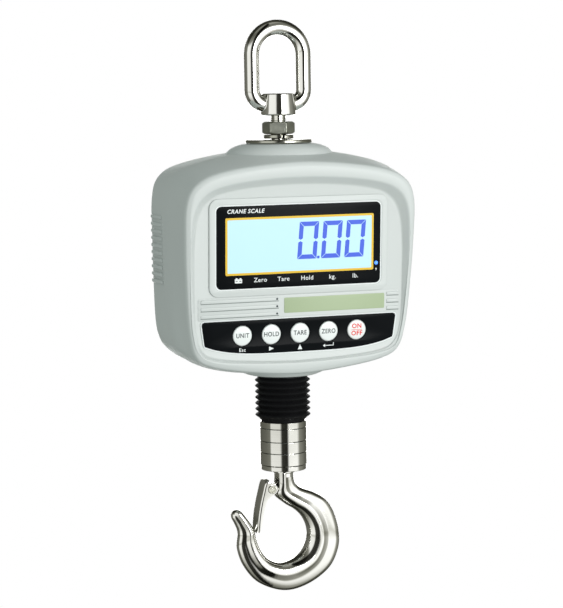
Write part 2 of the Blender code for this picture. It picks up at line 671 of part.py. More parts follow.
def suspension():
    """Ring, boss and stud in one forging, with its lock nut, washers and seal."""
    crown = RING_WIRE_R - RING_HALF_W
    floor = -(RING_DROP + RING_WIRE_R + RING_SAG)
    corner_x = RING_HALF_W - RING_CORNER_R
    corner_z = floor + RING_CORNER_R
    path = arc(0, crown, RING_HALF_W, 180, 0, 16)
    path += arc(corner_x, corner_z, RING_CORNER_R, 0, -90, 4)
    path += arc(-corner_x, corner_z, RING_CORNER_R, -90, -180, 4)
    loop = [(x, 0.0, z) for x, z in path]
    eye = wire("suspension_eye", loop, RING_WIRE_R, at(0, 0, 0), "polished_steel", closed=True, roundness=3)
    boss_top = -RING_DROP
    shank_end = CELL_TOP - THREAD_DEPTH
    profile = (
        (0, boss_top), (EYE_BOSS_TOP_R - 0.6 * MM, boss_top), (EYE_BOSS_TOP_R, boss_top - 0.6 * MM),
        (EYE_BOSS_R, BOSS_BOTTOM + 0.8 * MM), (EYE_BOSS_R - 0.8 * MM, BOSS_BOTTOM),
        (SHANK_R, BOSS_BOTTOM), (SHANK_R, shank_end), (0, shank_end),
    )
    join(eye, turned("eye_boss", profile, at(0, 0, 0)))
    nut = rod("eye_lock_nut", NUT_ACROSS_CORNERS / 2, NUT_H, at(0, 0, NUT_TOP - NUT_H / 2), "zinc", sides=6)
    cut(nut, rod("nut_bore", BORE_R, 2 * NUT_H, at(0, 0, NUT_TOP)))
    washer = ring("eye_spring_washer", SPRING_WASHER_R, BORE_R, SPRING_WASHER_T, SPRING_WASHER_TOP, "polished_steel")
    split = (WASHER_SPLIT, 2 * SPRING_WASHER_R, 3 * SPRING_WASHER_T)
    tilt = Matrix.Rotation(math.radians(25), 4, "Y")
    cut(washer, block("washer_split", split, at(0, -SPRING_WASHER_R, SPRING_WASHER_TOP) @ tilt))
    ring("eye_flat_washer", FLAT_WASHER_R, BORE_R, FLAT_WASHER_T, FLAT_WASHER_TOP, "polished_steel", ROUND)
    ring("top_seal", TOP_BORE_R - GAP, BORE_R, 8 * MM, CASE_TOP - 1.5 * MM, "rubber", FINE)


def load_cell():
    """S-shaped beam cell: two slots and an eye leave the bending webs that carry the gauges."""
    middle = (CELL_TOP + CELL_BOTTOM) / 2
    cell = block("load_cell", (CELL_W, CELL_D, CELL_H), at(0, 0, middle), "alloy")
    slot = (CELL_W, 2 * CELL_D, CELL_SLOT)
    offset = CELL_H / 2 - THREAD_DEPTH - 3.5 * MM - GAP
    for side in (-1, 1):
        where = at(-side * 9 * MM, 0, middle + side * offset)
        cut(cell, block("cell_slot", slot, where))
        cut(cell, rod("cell_thread", BORE_R, 2 * (THREAD_DEPTH + 1 * MM), at(0, 0, middle + side * CELL_H / 2), sides=FINE))
    cut(cell, rod("cell_eye", CELL_EYE_R + GAP, 2 * CELL_D, along_y(0, 0, middle), sides=32))
    rod("load_cell_gauge_seal", CELL_EYE_R, CELL_D - 1 * MM, along_y(0, 0, middle), "white_plastic", FINE)
    board_back = floor_y(middle) + RECESS_FRONT + LCD_T + BACKLIGHT_T + BOARD_T + 2.5 * MM
    x = CELL_W / 2 - 8 * MM
    start = Vector((-x, -CELL_D / 2 - 4 * GAP, middle + 20 * MM))
    end = Vector((-x - 14 * MM, board_back + 4 * GAP, middle + 2 * MM))
    points = [between(start + Vector((0, 14 * MM, 0)), start, end, end - Vector((0, 14 * MM, 0)), i / 10) for i in range(11)]
    wire("load_cell_lead", points, 1.5 * MM, at(0, 0, 0), "cable")


def display():
    """Window, display glass, backlight, holder, board, lamp and buzzer on the recess floor."""
    base = -(WINDOW_POCKET - GAP)
    block("display_window", (WINDOW_W, WINDOW_H, WINDOW_T), on_face(0, WINDOW_Z, base + WINDOW_T / 2), "black_gloss")
    glass = -RECESS_FRONT
    block("lcd_glass", (LCD_W, LCD_H, LCD_T), on_face(0, WINDOW_Z, glass - LCD_T / 2), "lcd")
    light = glass - LCD_T - GAP
    block("lcd_backlight", (LCD_W, LCD_H, BACKLIGHT_T), on_face(0, WINDOW_Z, light - BACKLIGHT_T / 2), "white_plastic")
    depth = LCD_T + GAP + BACKLIGHT_T
    outer = (LCD_W + 2 * HOLDER_WALL, LCD_H + 2 * HOLDER_WALL, depth)
    inner = (LCD_W + 2 * GAP, LCD_H + 2 * GAP, 2 * depth)
    holder = block("lcd_holder", outer, on_face(0, WINDOW_Z, glass - depth / 2), "white_plastic")
    cut(holder, block("holder_opening", inner, on_face(0, WINDOW_Z, glass - depth / 2)))
    led_z = WINDOW_Z - LED_DROP
    cut(holder, rod("holder_led", LED_R + GAP, 4 * depth, on_face(LED_X, led_z), sides=HOLE))
    led_length = depth + WALL - WINDOW_POCKET
    led_middle = base - 2 * GAP - led_length / 2
    rod("status_led", LED_R, led_length, on_face(LED_X, led_z, led_middle), "blue_lamp", HOLE)
    board = glass - depth - 2 * GAP
    size = (LCD_W + 2 * HOLDER_WALL, LCD_H + 16 * MM, BOARD_T)
    block("main_board", size, on_face(0, WINDOW_Z, board - BOARD_T / 2), "board")
    buzzer = board - BOARD_T - GAP
    rod("buzzer", 6 * MM, 4.5 * MM, on_face(44 * MM, WINDOW_Z - 14 * MM, buzzer - 2.25 * MM), "black_gloss", FINE)


def keypad():
    """Overlay, five sliding key caps, their switches and the board behind them."""
    half = OVERLAY_W / 2
    top = OVERLAY_H * 0.44
    bottom = top - OVERLAY_H
    corner = (half - 2.5 * MM, top - 18.4 * MM)
    edge = [(-half, top), (half, top), corner]
    steps = 12
    for i in range(1, steps):
        share = 1 - 2 * i / steps
        edge.append((corner[0] * share, corner[1] + (bottom - corner[1]) * (1 - share ** 4)))
    edge.append((-corner[0], corner[1]))
    low = GAP
    overlay = extruded("keypad_overlay", edge, OVERLAY_T, on_face(0, KEY_Z, low + OVERLAY_T / 2), "black_gloss")
    proud = low + OVERLAY_T + KEY_PROUD
    flange_top = -(WALL + GAP)
    flange_bottom = flange_top - KEY_FLANGE_T
    switch_top = flange_bottom - KEY_TRAVEL - GAP
    for i, (name, x) in enumerate(zip(KEY_NAMES, key_places()), start=1):
        cut(overlay, rod("overlay_hole", KEY_R + KEY_CLEARANCE, 8 * OVERLAY_T, on_face(x, KEY_Z), sides=FINE))
        profile = (
            (0, proud), (KEY_R - 0.3 * MM, proud), (KEY_R, proud - 0.3 * MM), (KEY_R, flange_top),
            (KEY_R + KEY_FLANGE, flange_top), (KEY_R + KEY_FLANGE, flange_bottom), (0, flange_bottom),
        )
        turned(name, profile, on_face(x, KEY_Z), "key_white", sides=FINE)
        size = (SWITCH_W, SWITCH_W, SWITCH_H)
        block(f"key_switch_{i}", size, on_face(x, KEY_Z, switch_top - SWITCH_H / 2), "zinc")
    board = switch_top - SWITCH_H - GAP
    size = ((len(KEY_NAMES) - 1) * KEY_PITCH + 4 * KEY_R, 3 * KEY_R, BOARD_T)
    block("keypad_board", size, on_face(0, KEY_Z, board - BOARD_T / 2), "board")


def knuckle():
    """Fork screwed into the load cell, its lock nut and its pin."""
    height = FORK_TOP - FORK_BOTTOM
    fork = block("clevis", (FORK_W, FORK_T, height), at(0, 0, FORK_TOP - height / 2), "polished_steel")
    stud_top = CELL_BOTTOM + THREAD_DEPTH
    overlap = 2 * MM
    length = stud_top - FORK_TOP + overlap
    join(fork, rod("clevis_stud", SHANK_R, length, at(0, 0, stud_top - length / 2)))
    slot_top = KNUCKLE_Z + TONGUE_R + 1.5 * MM
    slot = (2 * FORK_W, TONGUE_T + 2 * GAP, 2 * (slot_top - FORK_BOTTOM))
    cut(fork, block("clevis_slot", slot, at(0, 0, FORK_BOTTOM)))
    cut(fork, rod("clevis_hole", KNUCKLE_PIN_R + GAP, 2 * FORK_T, along_y(0, 0, KNUCKLE_Z), sides=FINE))
    rod("knuckle_pin", KNUCKLE_PIN_R, FORK_T + 2 * MM, along_y(0, 0, KNUCKLE_Z), "polished_steel", FINE)
    nut_z = CELL_BOTTOM - GAP - NUT_H / 2
    nut = rod("clevis_lock_nut", NUT_ACROSS_CORNERS / 2, NUT_H, at(0, 0, nut_z), "zinc", sides=6)
    cut(nut, rod("clevis_nut_bore", BORE_R, 2 * NUT_H, at(0, 0, nut_z)))


def bellows():
    """Pleated rubber tube between the lower collar and the swivel."""
    cuff = 2.4 * MM
    pitch = (BELLOWS_H - 2 * cuff) / BELLOWS_FOLDS
    outer = [(BELLOWS_VALLEY_R, 0), (BELLOWS_VALLEY_R, -0.5 * cuff)]
    for i in range(BELLOWS_FOLDS):
        start = -cuff - i * pitch
        outer.append((BELLOWS_PEAK_R, start - 0.5 * pitch))
        if i < BELLOWS_FOLDS - 1:
            outer.append((BELLOWS_VALLEY_R, start - pitch))
    outer += [(SWIVEL_R, -BELLOWS_H + 0.4 * cuff), (SWIVEL_R, -BELLOWS_H)]
    inner = [(radius - BELLOWS_WALL, height) for radius, height in reversed(outer)]
    turned("bellows", outer + inner, at(0, 0, BELLOWS_TOP), "rubber", closed=True, sides=24)


def swivel():
    """Tongue and the stack of turned rings that hold the hook's thrust bearing."""
    tongue = rod("link_stem", TONGUE_R, TONGUE_T, along_y(0, 0, KNUCKLE_Z), "polished_steel", 28)
    shoulder = FORK_BOTTOM - 5 * MM
    bar_length = KNUCKLE_Z - shoulder + 1 * MM
    bar = block("stem_bar", (1.3 * TONGUE_R, TONGUE_T, bar_length), at(0, 0, KNUCKLE_Z - bar_length / 2))
    stem_end = HEAD_TOP - 0.45 * SWIVEL_HEAD_H
    profile = ((0, shoulder), (TONGUE_R, shoulder), (TONGUE_R, LOCK_RING_TOP + GAP), (SHANK_R, LOCK_RING_TOP + GAP),
               (SHANK_R, stem_end), (0, stem_end))
    join(tongue, bar, turned("stem_end", profile, at(0, 0, 0), sides=FINE))
    cut(tongue, rod("tongue_hole", KNUCKLE_PIN_R + GAP, 2 * TONGUE_T, along_y(0, 0, KNUCKLE_Z), sides=FINE))
    lock = ring("swivel_lock_ring", SWIVEL_R, BORE_R, LOCK_RING_H, LOCK_RING_TOP, "polished_steel", ROUND)
    roof = 0.5 * SWIVEL_HEAD_H
    cavity = HOOK_NUT_CORNERS / 2 + 1.2 * MM
    head_profile = ((SWIVEL_R, 0), (SWIVEL_R, -SWIVEL_HEAD_H), (cavity, -SWIVEL_HEAD_H), (cavity, -roof),
                    (BORE_R, -roof), (BORE_R, 0))
    head = turned("swivel_head", head_profile, at(0, 0, HEAD_TOP), "polished_steel", closed=True, sides=ROUND)
    bore = SWIVEL_R - SWIVEL_WALL
    sleeve = ring("swivel_sleeve", SWIVEL_R, bore, SLEEVE_H, SLEEVE_TOP, "polished_steel", ROUND)
    floor = SEAT_FLOOR - SEAT_H
    seat_profile = ((SWIVEL_R, 0), (SWIVEL_R, -SEAT_H), (NECK_BORE_R, -SEAT_H), (NECK_BORE_R, floor), (bore, floor), (bore, 0))
    seat = turned("swivel_seat", seat_profile, at(0, 0, SEAT_TOP), "polished_steel", closed=True, sides=ROUND)
    cap = ring("swivel_dust_cap", SWIVEL_R - 0.5 * MM, NECK_BORE_R, DUST_CAP_H, DUST_CAP_TOP, "polished_steel", ROUND)
    race = ring("bearing_lower_race", BEARING_R, NECK_BORE_R + GAP, RACE_T, LOWER_RACE_TOP, "alloy", ROUND)
    for item in (tongue, lock, head, sleeve, seat, cap, race):
        attach(item, "swing")


def bearing():
    """Caged balls, upper race, hook nut and its locking pin."""
    pitch_r = (BEARING_R + NECK_BORE_R) / 2
    cage = ring("bearing_ball_cage", pitch_r + 1.0 * MM, pitch_r - 1.0 * MM, 1.2 * MM, BALL_Z + 0.6 * MM, "alloy", ROUND)

    def build(mesh):
        for i in range(BALL_COUNT):
            angle = 2 * math.pi * (i + 0.5) / BALL_COUNT
            where = Matrix.Translation((pitch_r * math.cos(angle), pitch_r * math.sin(angle), 0))
            bmesh.ops.create_uvsphere(mesh, u_segments=8, v_segments=6, radius=BALL_R, matrix=where)

    join(cage, place("balls", mesh_from("balls", build), at(0, 0, BALL_Z), None))
    race = ring("bearing_upper_race", BEARING_R, NECK_BORE_R + GAP, RACE_T, UPPER_RACE_TOP, "alloy", ROUND)
    nut_middle = HOOK_NUT_TOP - HOOK_NUT_H / 2
    nut = rod("hook_nut", HOOK_NUT_CORNERS / 2, HOOK_NUT_H, at(0, 0, nut_middle), "zinc", sides=6)
    across = at(0, 0, nut_middle) @ Matrix.Rotation(math.radians(90), 4, "X")
    cut(nut, rod("hook_nut_bore", BORE_R, 2 * HOOK_NUT_H, at(0, 0, nut_middle)))
    cut(nut, rod("nut_pin_hole", NUT_PIN_R + GAP, 2 * HOOK_NUT_CORNERS, across, sides=HOLE))
    pin = rod("hook_nut_pin", NUT_PIN_R, 0.84 * HOOK_NUT_CORNERS, across, "zinc", HOLE)
    for item in (cage, race, nut, pin):
        attach(item, "swivel")


def hook_rings(sections, steps_per_span, sides):
    """Rings round the hook; each is a soft-cornered section, thicker on its load side."""
    rings = []
    last = len(sections) - 1
    for i in range(last):
        span = [sections[min(max(i + k - 1, 0), last)] for k in range(4)]
        keys = [(a[0], a[1], b[0], b[1], t) for a, b, t in span]
        count = steps_per_span + (1 if i == last - 1 else 0)
        for s in range(count):
            rings.append(between(*keys, s / steps_per_span))
    made = []
    for load_x, load_z, outer_x, outer_z, thickness in rings:
        ring_points = []
        for k in range(sides):
            angle = 2 * math.pi * k / sides
            across = math.copysign(abs(math.cos(angle)) ** HOOK_SOFTNESS, math.cos(angle))
            side = math.copysign(abs(math.sin(angle)) ** HOOK_SOFTNESS, math.sin(angle))
            x = (load_x + outer_x) / 2 + across * (outer_x - load_x) / 2
            z = (load_z + outer_z) / 2 + across * (outer_z - load_z) / 2
            y = side * thickness / 2 * (1 - HOOK_TAPER * across)
            ring_points.append((x * MM, y * MM, z * MM))
        made.append(ring_points)
    return made


def hook():
    """Forged hook with its shank, neck collar and latch lug, then the latch, its pin and spring."""
    body = loft("hook", hook_rings(HOOK_SECTIONS, 2, 14), at(0, 0, DUST_CAP_BOTTOM), "polished_steel")
    top = HOOK_NUT_TOP + 1.2 * MM - DUST_CAP_BOTTOM
    neck_top = UPPER_RACE_TOP - DUST_CAP_BOTTOM
    collar_top = -0.8 * MM
    profile = (
        (0, top), (SHANK_R, top), (SHANK_R, neck_top), (NECK_R, neck_top), (NECK_R, collar_top),
        (NECK_COLLAR_R, collar_top - 0.4 * MM), (NECK_COLLAR_R, collar_top - 1.6 * MM), (NECK_R, collar_top - 2 * MM),
        (NECK_R, -7 * MM), (0, -7 * MM),
    )
    join(body, turned("hook_shank", profile, at(0, 0, DUST_CAP_BOTTOM), sides=FINE))
    join(body, rod("latch_lug", LUG_R, 2 * LUG_HALF_W, along_y(LATCH_PIN_X, 0, LATCH_PIN_Z), sides=FINE))
    reach = (0.5 * NECK_R - LATCH_PIN_X - NECK_R, 2 * LUG_HALF_W - GAP, 1.8 * LUG_R)
    join(body, block("lug_web", reach, at(LATCH_PIN_X + reach[0] / 2, 0, LATCH_PIN_Z)))
    cut(body, rod("latch_hole", LATCH_PIN_R + GAP, 6 * LUG_HALF_W, along_y(LATCH_PIN_X, 0, LATCH_PIN_Z), sides=HOLE))
    pocket_y = LUG_HALF_W + POCKET_H / 2 + 0.2 * MM
    for side in (-1, 1):
        pocket = rod("spring_pocket", POCKET_R, POCKET_H, along_y(LATCH_PIN_X, side * pocket_y, LATCH_PIN_Z), sides=HOLE)
        cut(body, pocket)
    nut_middle = HOOK_NUT_TOP - HOOK_NUT_H / 2
    across = at(0, 0, nut_middle) @ Matrix.Rotation(math.radians(90), 4, "X")
    cut(body, rod("shank_pin_hole", NUT_PIN_R + GAP, 4 * SHANK_R, across, sides=HOLE))
    pin_length = LATCH_INNER_W + 2 * LATCH_SHEET + 2 * MM
    pin = rod("latch_pin", LATCH_PIN_R, pin_length, along_y(LATCH_PIN_X, 0, LATCH_PIN_Z), "zinc", FINE)
    spring = latch_spring()
    for item in (body, pin, spring):
        attach(item, "swivel")
    attach(latch(), "latch")


def latch():
    """Pressed channel: a web that closes the mouth, with two cheeks on the pin."""
    web = ((-2.6, 7.2), (-4.6, 6.2), (-6.2, 3.0), (-8.0, -4), (-9.8, -11.5), (-11.3, -20), (-12.0, -27),
           (-12.4, -32.8))
    back = [(-10.4, -32.2), (-8.8, -27), (-7.6, -20), (-5.6, -12.5), (-3.2, -7)]
    ear = [(x / MM, z / MM) for x, z in arc(0, 0, 4.4 * MM, -60, 100, 8)]
    profile = [(x * MM, z * MM) for x, z in list(web) + back + ear]
    frame = along_y(LATCH_PIN_X, 0, LATCH_PIN_Z)
    width = LATCH_INNER_W + 2 * LATCH_SHEET
    item = extruded("latch", profile, width, frame, "polished_steel")
    depth = 1.25 * LATCH_SHEET / MM
    inner_web = [(x + depth, z - (0.8 * depth if i < 2 else 0)) for i, (x, z) in enumerate(web[:-1])]
    inner = inner_web + [(web[-1][0] + depth, web[-1][1] - depth), (10, -36), (10, 9), (-3, 9)]
    pocket = extruded("latch_inside", [(x * MM, z * MM) for x, z in inner], LATCH_INNER_W, frame)
    cut(item, pocket)
    cut(item, rod("cheek_hole", LATCH_PIN_R + GAP, 2 * width, frame, sides=HOLE))
    return item


def latch_spring():
    """Torsion spring round the pin, with one leg on the hook and one on the latch."""
    radius = LATCH_PIN_R + 0.3 * MM + SPRING_WIRE_R
    start = LUG_HALF_W + 2 * SPRING_WIRE_R
    turns = 2
    steps = 9 * turns
    points = []
    for i in range(steps + 1):
        angle = 2 * math.pi * turns * i / steps
        points.append((radius * math.cos(angle), start + 0.85 * MM * turns * i / steps, radius * math.sin(angle)))
    end = points[-1]
    points.append((end[0] - 1.0 * MM, end[1], end[2] - 4.5 * MM))
    return wire("latch_spring", points, SPRING_WIRE_R, at(LATCH_PIN_X, 0, LATCH_PIN_Z), "zinc")


def attach(item, pivot):
    item.parent = PIVOTS[pivot]
    item.matrix_parent_inverse = Matrix.Translation(PIVOTS[pivot].location).inverted()


def pivot(name, x, y, z, parent=None):
    """An empty on a joint's axis."""
    item = bpy.data.objects.new(name, None)
    item.location = (x, y, z)
    item.empty_display_size = 10 * MM
    PARTS.objects.link(item)
    return item


clear_scene()
PARTS = new_collection("crane_scale")
CUTTERS = new_collection("cutters")
PIVOTS = {
    "swing": pivot("swing_pivot", 0, 0, KNUCKLE_Z),
    "swivel": pivot("swivel_pivot", 0, 0, BALL_Z),
    "latch": pivot("latch_pivot", LATCH_PIN_X, 0, LATCH_PIN_Z),
}
suspension()
front_shell()
rear_shell()
shell_fittings()
load_cell()
display()
keypad()
knuckle()
bellows()
swivel()
bearing()
hook()
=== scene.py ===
"""Looks of the hanging crane scale: housing, display, keypad, lifting ring, bellows, swivel and hook.

Every length is in metres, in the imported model's own frame: the origin is the hang point at the
inner crown of the ring, +Z is up and -Y is the front of the display.
"""
import json
import logging
import math
from dataclasses import dataclass, field
from enum import Enum
from typing import Callable, Iterable, Sequence

import bmesh
import bpy
from mathutils import Matrix, Vector

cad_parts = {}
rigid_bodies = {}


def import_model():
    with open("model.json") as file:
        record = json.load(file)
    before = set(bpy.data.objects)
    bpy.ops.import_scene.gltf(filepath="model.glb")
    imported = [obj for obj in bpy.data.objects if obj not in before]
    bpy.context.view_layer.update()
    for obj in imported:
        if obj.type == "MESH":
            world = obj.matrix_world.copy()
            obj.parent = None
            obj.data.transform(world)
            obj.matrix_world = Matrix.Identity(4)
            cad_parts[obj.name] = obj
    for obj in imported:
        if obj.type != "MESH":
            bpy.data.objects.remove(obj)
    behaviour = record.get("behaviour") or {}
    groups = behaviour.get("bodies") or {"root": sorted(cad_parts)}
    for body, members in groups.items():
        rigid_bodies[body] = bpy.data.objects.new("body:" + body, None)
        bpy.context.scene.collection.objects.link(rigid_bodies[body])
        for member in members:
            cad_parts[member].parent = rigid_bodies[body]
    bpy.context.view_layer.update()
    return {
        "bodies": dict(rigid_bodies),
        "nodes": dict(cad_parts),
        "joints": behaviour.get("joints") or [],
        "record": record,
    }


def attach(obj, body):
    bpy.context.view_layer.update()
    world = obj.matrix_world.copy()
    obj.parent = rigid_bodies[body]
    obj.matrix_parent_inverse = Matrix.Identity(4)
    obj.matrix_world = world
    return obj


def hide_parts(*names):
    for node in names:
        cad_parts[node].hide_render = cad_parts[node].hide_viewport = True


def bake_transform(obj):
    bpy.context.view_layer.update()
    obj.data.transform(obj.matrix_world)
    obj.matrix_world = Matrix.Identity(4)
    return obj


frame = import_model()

LOG = logging.getLogger("crane_scale")
MM = 0.001

Profile = Sequence[tuple[float, float]]
Outline = list[Vector]
Depth = float | Callable[[float], float]


class Body(str, Enum):
    """The rigid bodies that pieces ride on."""

    HOUSING = "housing"
    SWIVEL = "swivel_case"
    HOOK = "hook_body"
    LATCH = "latch_body"


class Texture(Enum):
    """How a finish breaks up: moulded speckle, lathe lines, a polish with soft waves, or cast grain."""

    MOULDED = "moulded"
    TURNED = "turned"
    POLISHED = "polished"
    GRAINY = "grainy"


class Socket:
    """A shader socket whose values combine with Python's operators."""

    def __init__(self, tree: "Tree", link: bpy.types.NodeSocket) -> None:
        """Wrap one output socket of a material's tree."""
        self.tree = tree
        self.link = link

    def _join(self, operation: str, first: object, second: object) -> "Socket":
        """Add one Math node.

        Args:
            operation: the Math node's operation.
            first: a number or socket.
            second: a number or socket.

        Returns:
            The Math node's value.
        """
        return self.tree.node("ShaderNodeMath", {"operation": operation}, {0: first, 1: second})

    def __add__(self, other: object) -> "Socket":
        """self + other."""
        return self._join("ADD", self, other)

    __radd__ = __add__

    def __mul__(self, other: object) -> "Socket":
        """self * other."""
        return self._join("MULTIPLY", self, other)

    __rmul__ = __mul__

    def __sub__(self, other: object) -> "Socket":
        """self - other."""
        return self._join("SUBTRACT", self, other)

    def __rsub__(self, other: object) -> "Socket":
        """other - self."""
        return self._join("SUBTRACT", other, self)


class Tree:
    """A material's node tree, with one method that adds any node."""

    def __init__(self, name: str) -> None:
        """Start a material with its Principled shader."""
        self.material = bpy.data.materials.new(name)
        self.material.use_nodes = True
        self.nodes = self.material.node_tree.nodes
        self.links = self.material.node_tree.links
        self.shader = self.nodes["Principled BSDF"]

    def put(self, target: bpy.types.NodeSocket, value: object) -> None:
        """Set a socket to a number or colour, or link another socket to it.

        Args:
            target: the input socket.
            value: a number, a tuple or a Socket.
        """
        if isinstance(value, Socket):
            self.links.new(value.link, target)
        else:
            target.default_value = value

    def node(self, kind: str, settings: dict, inputs: dict, output: int | str = 0) -> Socket:
        """Add a node.

        Args:
            kind: the node's type.
            settings: properties to set before its sockets, with a ramp's stops as "stops".
            inputs: sockets by name or number, with their values or links.
            output: which output to return.

        Returns:
            The chosen output.
        """
        made = self.nodes.new(kind)
        for key, value in settings.items():
            if key == "stops":
                ramp = made.color_ramp
                while len(ramp.elements) < len(value):
                    ramp.elements.new(0.5)
                for element, (place, colour) in zip(ramp.elements, value):
                    element.position = place
                    element.color = colour
            else:
                setattr(made, key, value)
        for key, value in inputs.items():
            self.put(made.inputs[key], value)
        return Socket(self, made.outputs[output])

    def place(self, stretch: tuple[float, float, float] = (1.0, 1.0, 1.0)) -> Socket:
        """The object's own coordinates, stretched along its axes."""
        where = self.node("ShaderNodeTexCoord", {}, {}, "Object")
        return self.node("ShaderNodeMapping", {}, {"Vector": where, "Scale": stretch})

    def noise(self, where: Socket, scale: float, detail: float = 2.0) -> Socket:
        """Smooth noise between 0 and 1 at a number of waves to the metre."""
        return self.node("ShaderNodeTexNoise", {}, {"Vector": where, "Scale": scale, "Detail": detail})

    def mix(self, share: Socket, first: tuple, second: tuple) -> Socket:
        """A colour between two, by share."""
        sockets = {0: share, 6: (*first, 1.0), 7: (*second, 1.0)}
        return self.node("ShaderNodeMix", {"data_type": "RGBA"}, sockets, 2)


@dataclass(frozen=True)
class Finish:
    """One surface finish.

    colour, roughness and metallic are its averages; mottle and uneven are how far its colour and
    its roughness wander; relief is the depth of its fine texture in metres.
    """

    name: str
    colour: tuple[float, float, float]
    roughness: float
    metallic: float = 0.0
    texture: Texture = Texture.MOULDED
    mottle: float = 0.04
    uneven: float = 0.06
    patch: float = 45.0
    grain: float = 1400.0
    relief: float = 0.00002
    coat: float = 0.0
    specular: float = 0.5
    glow: float = 0.0

    def build(self) -> bpy.types.Material:
        """Make the material.

        Returns:
            A material with varied colour, roughness and a fine bump.
        """
        tree = Tree(self.name)
        stretch = {
            Texture.MOULDED: (1.0, 1.0, 1.0),
            Texture.TURNED: (0.02, 0.02, 1.0),
            Texture.POLISHED: (1.0, 1.0, 0.6),
            Texture.GRAINY: (1.0, 1.0, 1.0),
        }[self.texture]
        where = tree.place(stretch)
        patches = tree.noise(tree.place(), self.patch, 3.0)
        fine = tree.noise(where, self.grain, 1.0 if self.texture is Texture.POLISHED else 3.0)
        share = patches * 0.65 + fine * 0.35
        darker = tuple(c * (1 - 2 * self.mottle) for c in self.colour)
        lighter = tuple(min(1.0, c * (1 + 2 * self.mottle)) for c in self.colour)
        tree.put(tree.shader.inputs["Base Color"], tree.mix(share, darker, lighter))
        rough = (share - 0.5) * (2 * self.uneven) + self.roughness
        tree.put(tree.shader.inputs["Roughness"], rough)
        bump = {"Height": fine, "Distance": self.relief, "Strength": 1.0}
        tree.put(tree.shader.inputs["Normal"], tree.node("ShaderNodeBump", {}, bump))
        tree.put(tree.shader.inputs["Metallic"], self.metallic)
        tree.put(tree.shader.inputs["Coat Weight"], self.coat)
        tree.put(tree.shader.inputs["Coat Roughness"], 0.06)
        tree.put(tree.shader.inputs["Specular IOR Level"], self.specular)
        if self.glow:
            tree.put(tree.shader.inputs["Emission Color"], (*self.colour, 1.0))
            tree.put(tree.shader.inputs["Emission Strength"], self.glow)
        return tree.material


class Finishes:
    """Every finish on the scale, built once and fetched by its slot name."""

    RECIPES = {finish.name: finish for finish in (
        Finish("polished_steel", (0.84, 0.84, 0.80), 0.07, 1.0, Texture.POLISHED, 0.02, 0.03, 60.0, 230.0,
               0.00002),
        Finish("turned_steel", (0.88, 0.88, 0.84), 0.07, 1.0, Texture.TURNED, 0.03, 0.05, 80.0, 2400.0,
               0.000004),
        Finish("dull_steel", (0.46, 0.46, 0.40), 0.20, 1.0, Texture.GRAINY, 0.10, 0.10, 160.0, 900.0,
               0.00004),
        Finish("zinc", (0.50, 0.52, 0.45), 0.36, 1.0, Texture.GRAINY, 0.16, 0.14, 260.0, 900.0, 0.00014),
        Finish("shell", (0.640, 0.662, 0.650), 0.42, mottle=0.012, uneven=0.05, patch=28.0, grain=2600.0),
        Finish("rubber", (0.005, 0.005, 0.006), 0.55, 0.0, Texture.GRAINY, 0.12, 0.10, 90.0, 1500.0, 0.00004,
               specular=0.25),
        Finish("black_gloss", (0.004, 0.005, 0.006), 0.24, mottle=0.05, uneven=0.03, grain=2200.0,
               relief=0.000003,
               specular=0.04),
        Finish("lcd", (0.54, 0.80, 0.95), 0.30, mottle=0.01, uneven=0.02, relief=0.000002, specular=0.2,
               glow=0.10),
        Finish("segment", (0.055, 0.115, 0.66), 0.35, mottle=0.03, uneven=0.02, relief=0.000002,
               specular=0.2,
               glow=0.16),
        Finish("amber", (0.82, 0.50, 0.012), 0.34, mottle=0.03, uneven=0.03, relief=0.000004, specular=0.3),
        Finish("print_white", (0.84, 0.86, 0.86), 0.42, mottle=0.02, uneven=0.04, relief=0.000004),
        Finish("print_dark", (0.030, 0.040, 0.045), 0.45, mottle=0.05, uneven=0.04, relief=0.000004,
               specular=0.2),
        # Grey for the painted shade lines below the strips.
        Finish("painted_shade_grey", (0.20, 0.225, 0.215), 0.50, mottle=0.03, uneven=0.04, relief=0.000004,
               specular=0.2),
        Finish("print_red", (0.78, 0.015, 0.014), 0.42, mottle=0.03, uneven=0.04, relief=0.000004),
        Finish("label", (0.39, 0.475, 0.285), 0.38, mottle=0.02, uneven=0.04, relief=0.000004),
        Finish("white_plastic", (0.80, 0.81, 0.80), 0.38),
        Finish("key_white", (0.84, 0.86, 0.85), 0.34, mottle=0.012, uneven=0.04, relief=0.000006, coat=0.2),
        Finish("key_red", (0.86, 0.86, 0.85), 0.34, mottle=0.012, uneven=0.04, relief=0.000006, coat=0.2),
        Finish("board", (0.02, 0.17, 0.06), 0.40, mottle=0.12, uneven=0.08, patch=300.0, grain=1800.0),
        Finish("alloy", (0.66, 0.67, 0.69), 0.32, 1.0, Texture.GRAINY, 0.05, 0.08, 90.0, 1600.0),
        Finish("blue_lamp", (0.08, 0.25, 0.95), 0.20, glow=1.2),
        Finish("cable", (0.06, 0.06, 0.065), 0.55),
        Finish("battery_wrap", (0.03, 0.11, 0.36), 0.30, coat=0.3),
    )}
    made: dict[str, bpy.types.Material] = {}

    @classmethod
    def get(cls, name: str) -> bpy.types.Material:
        """Fetch a finish's material, building it the first time."""
        if name not in cls.made:
            cls.made[name] = cls.RECIPES[name].build()
        return cls.made[name]


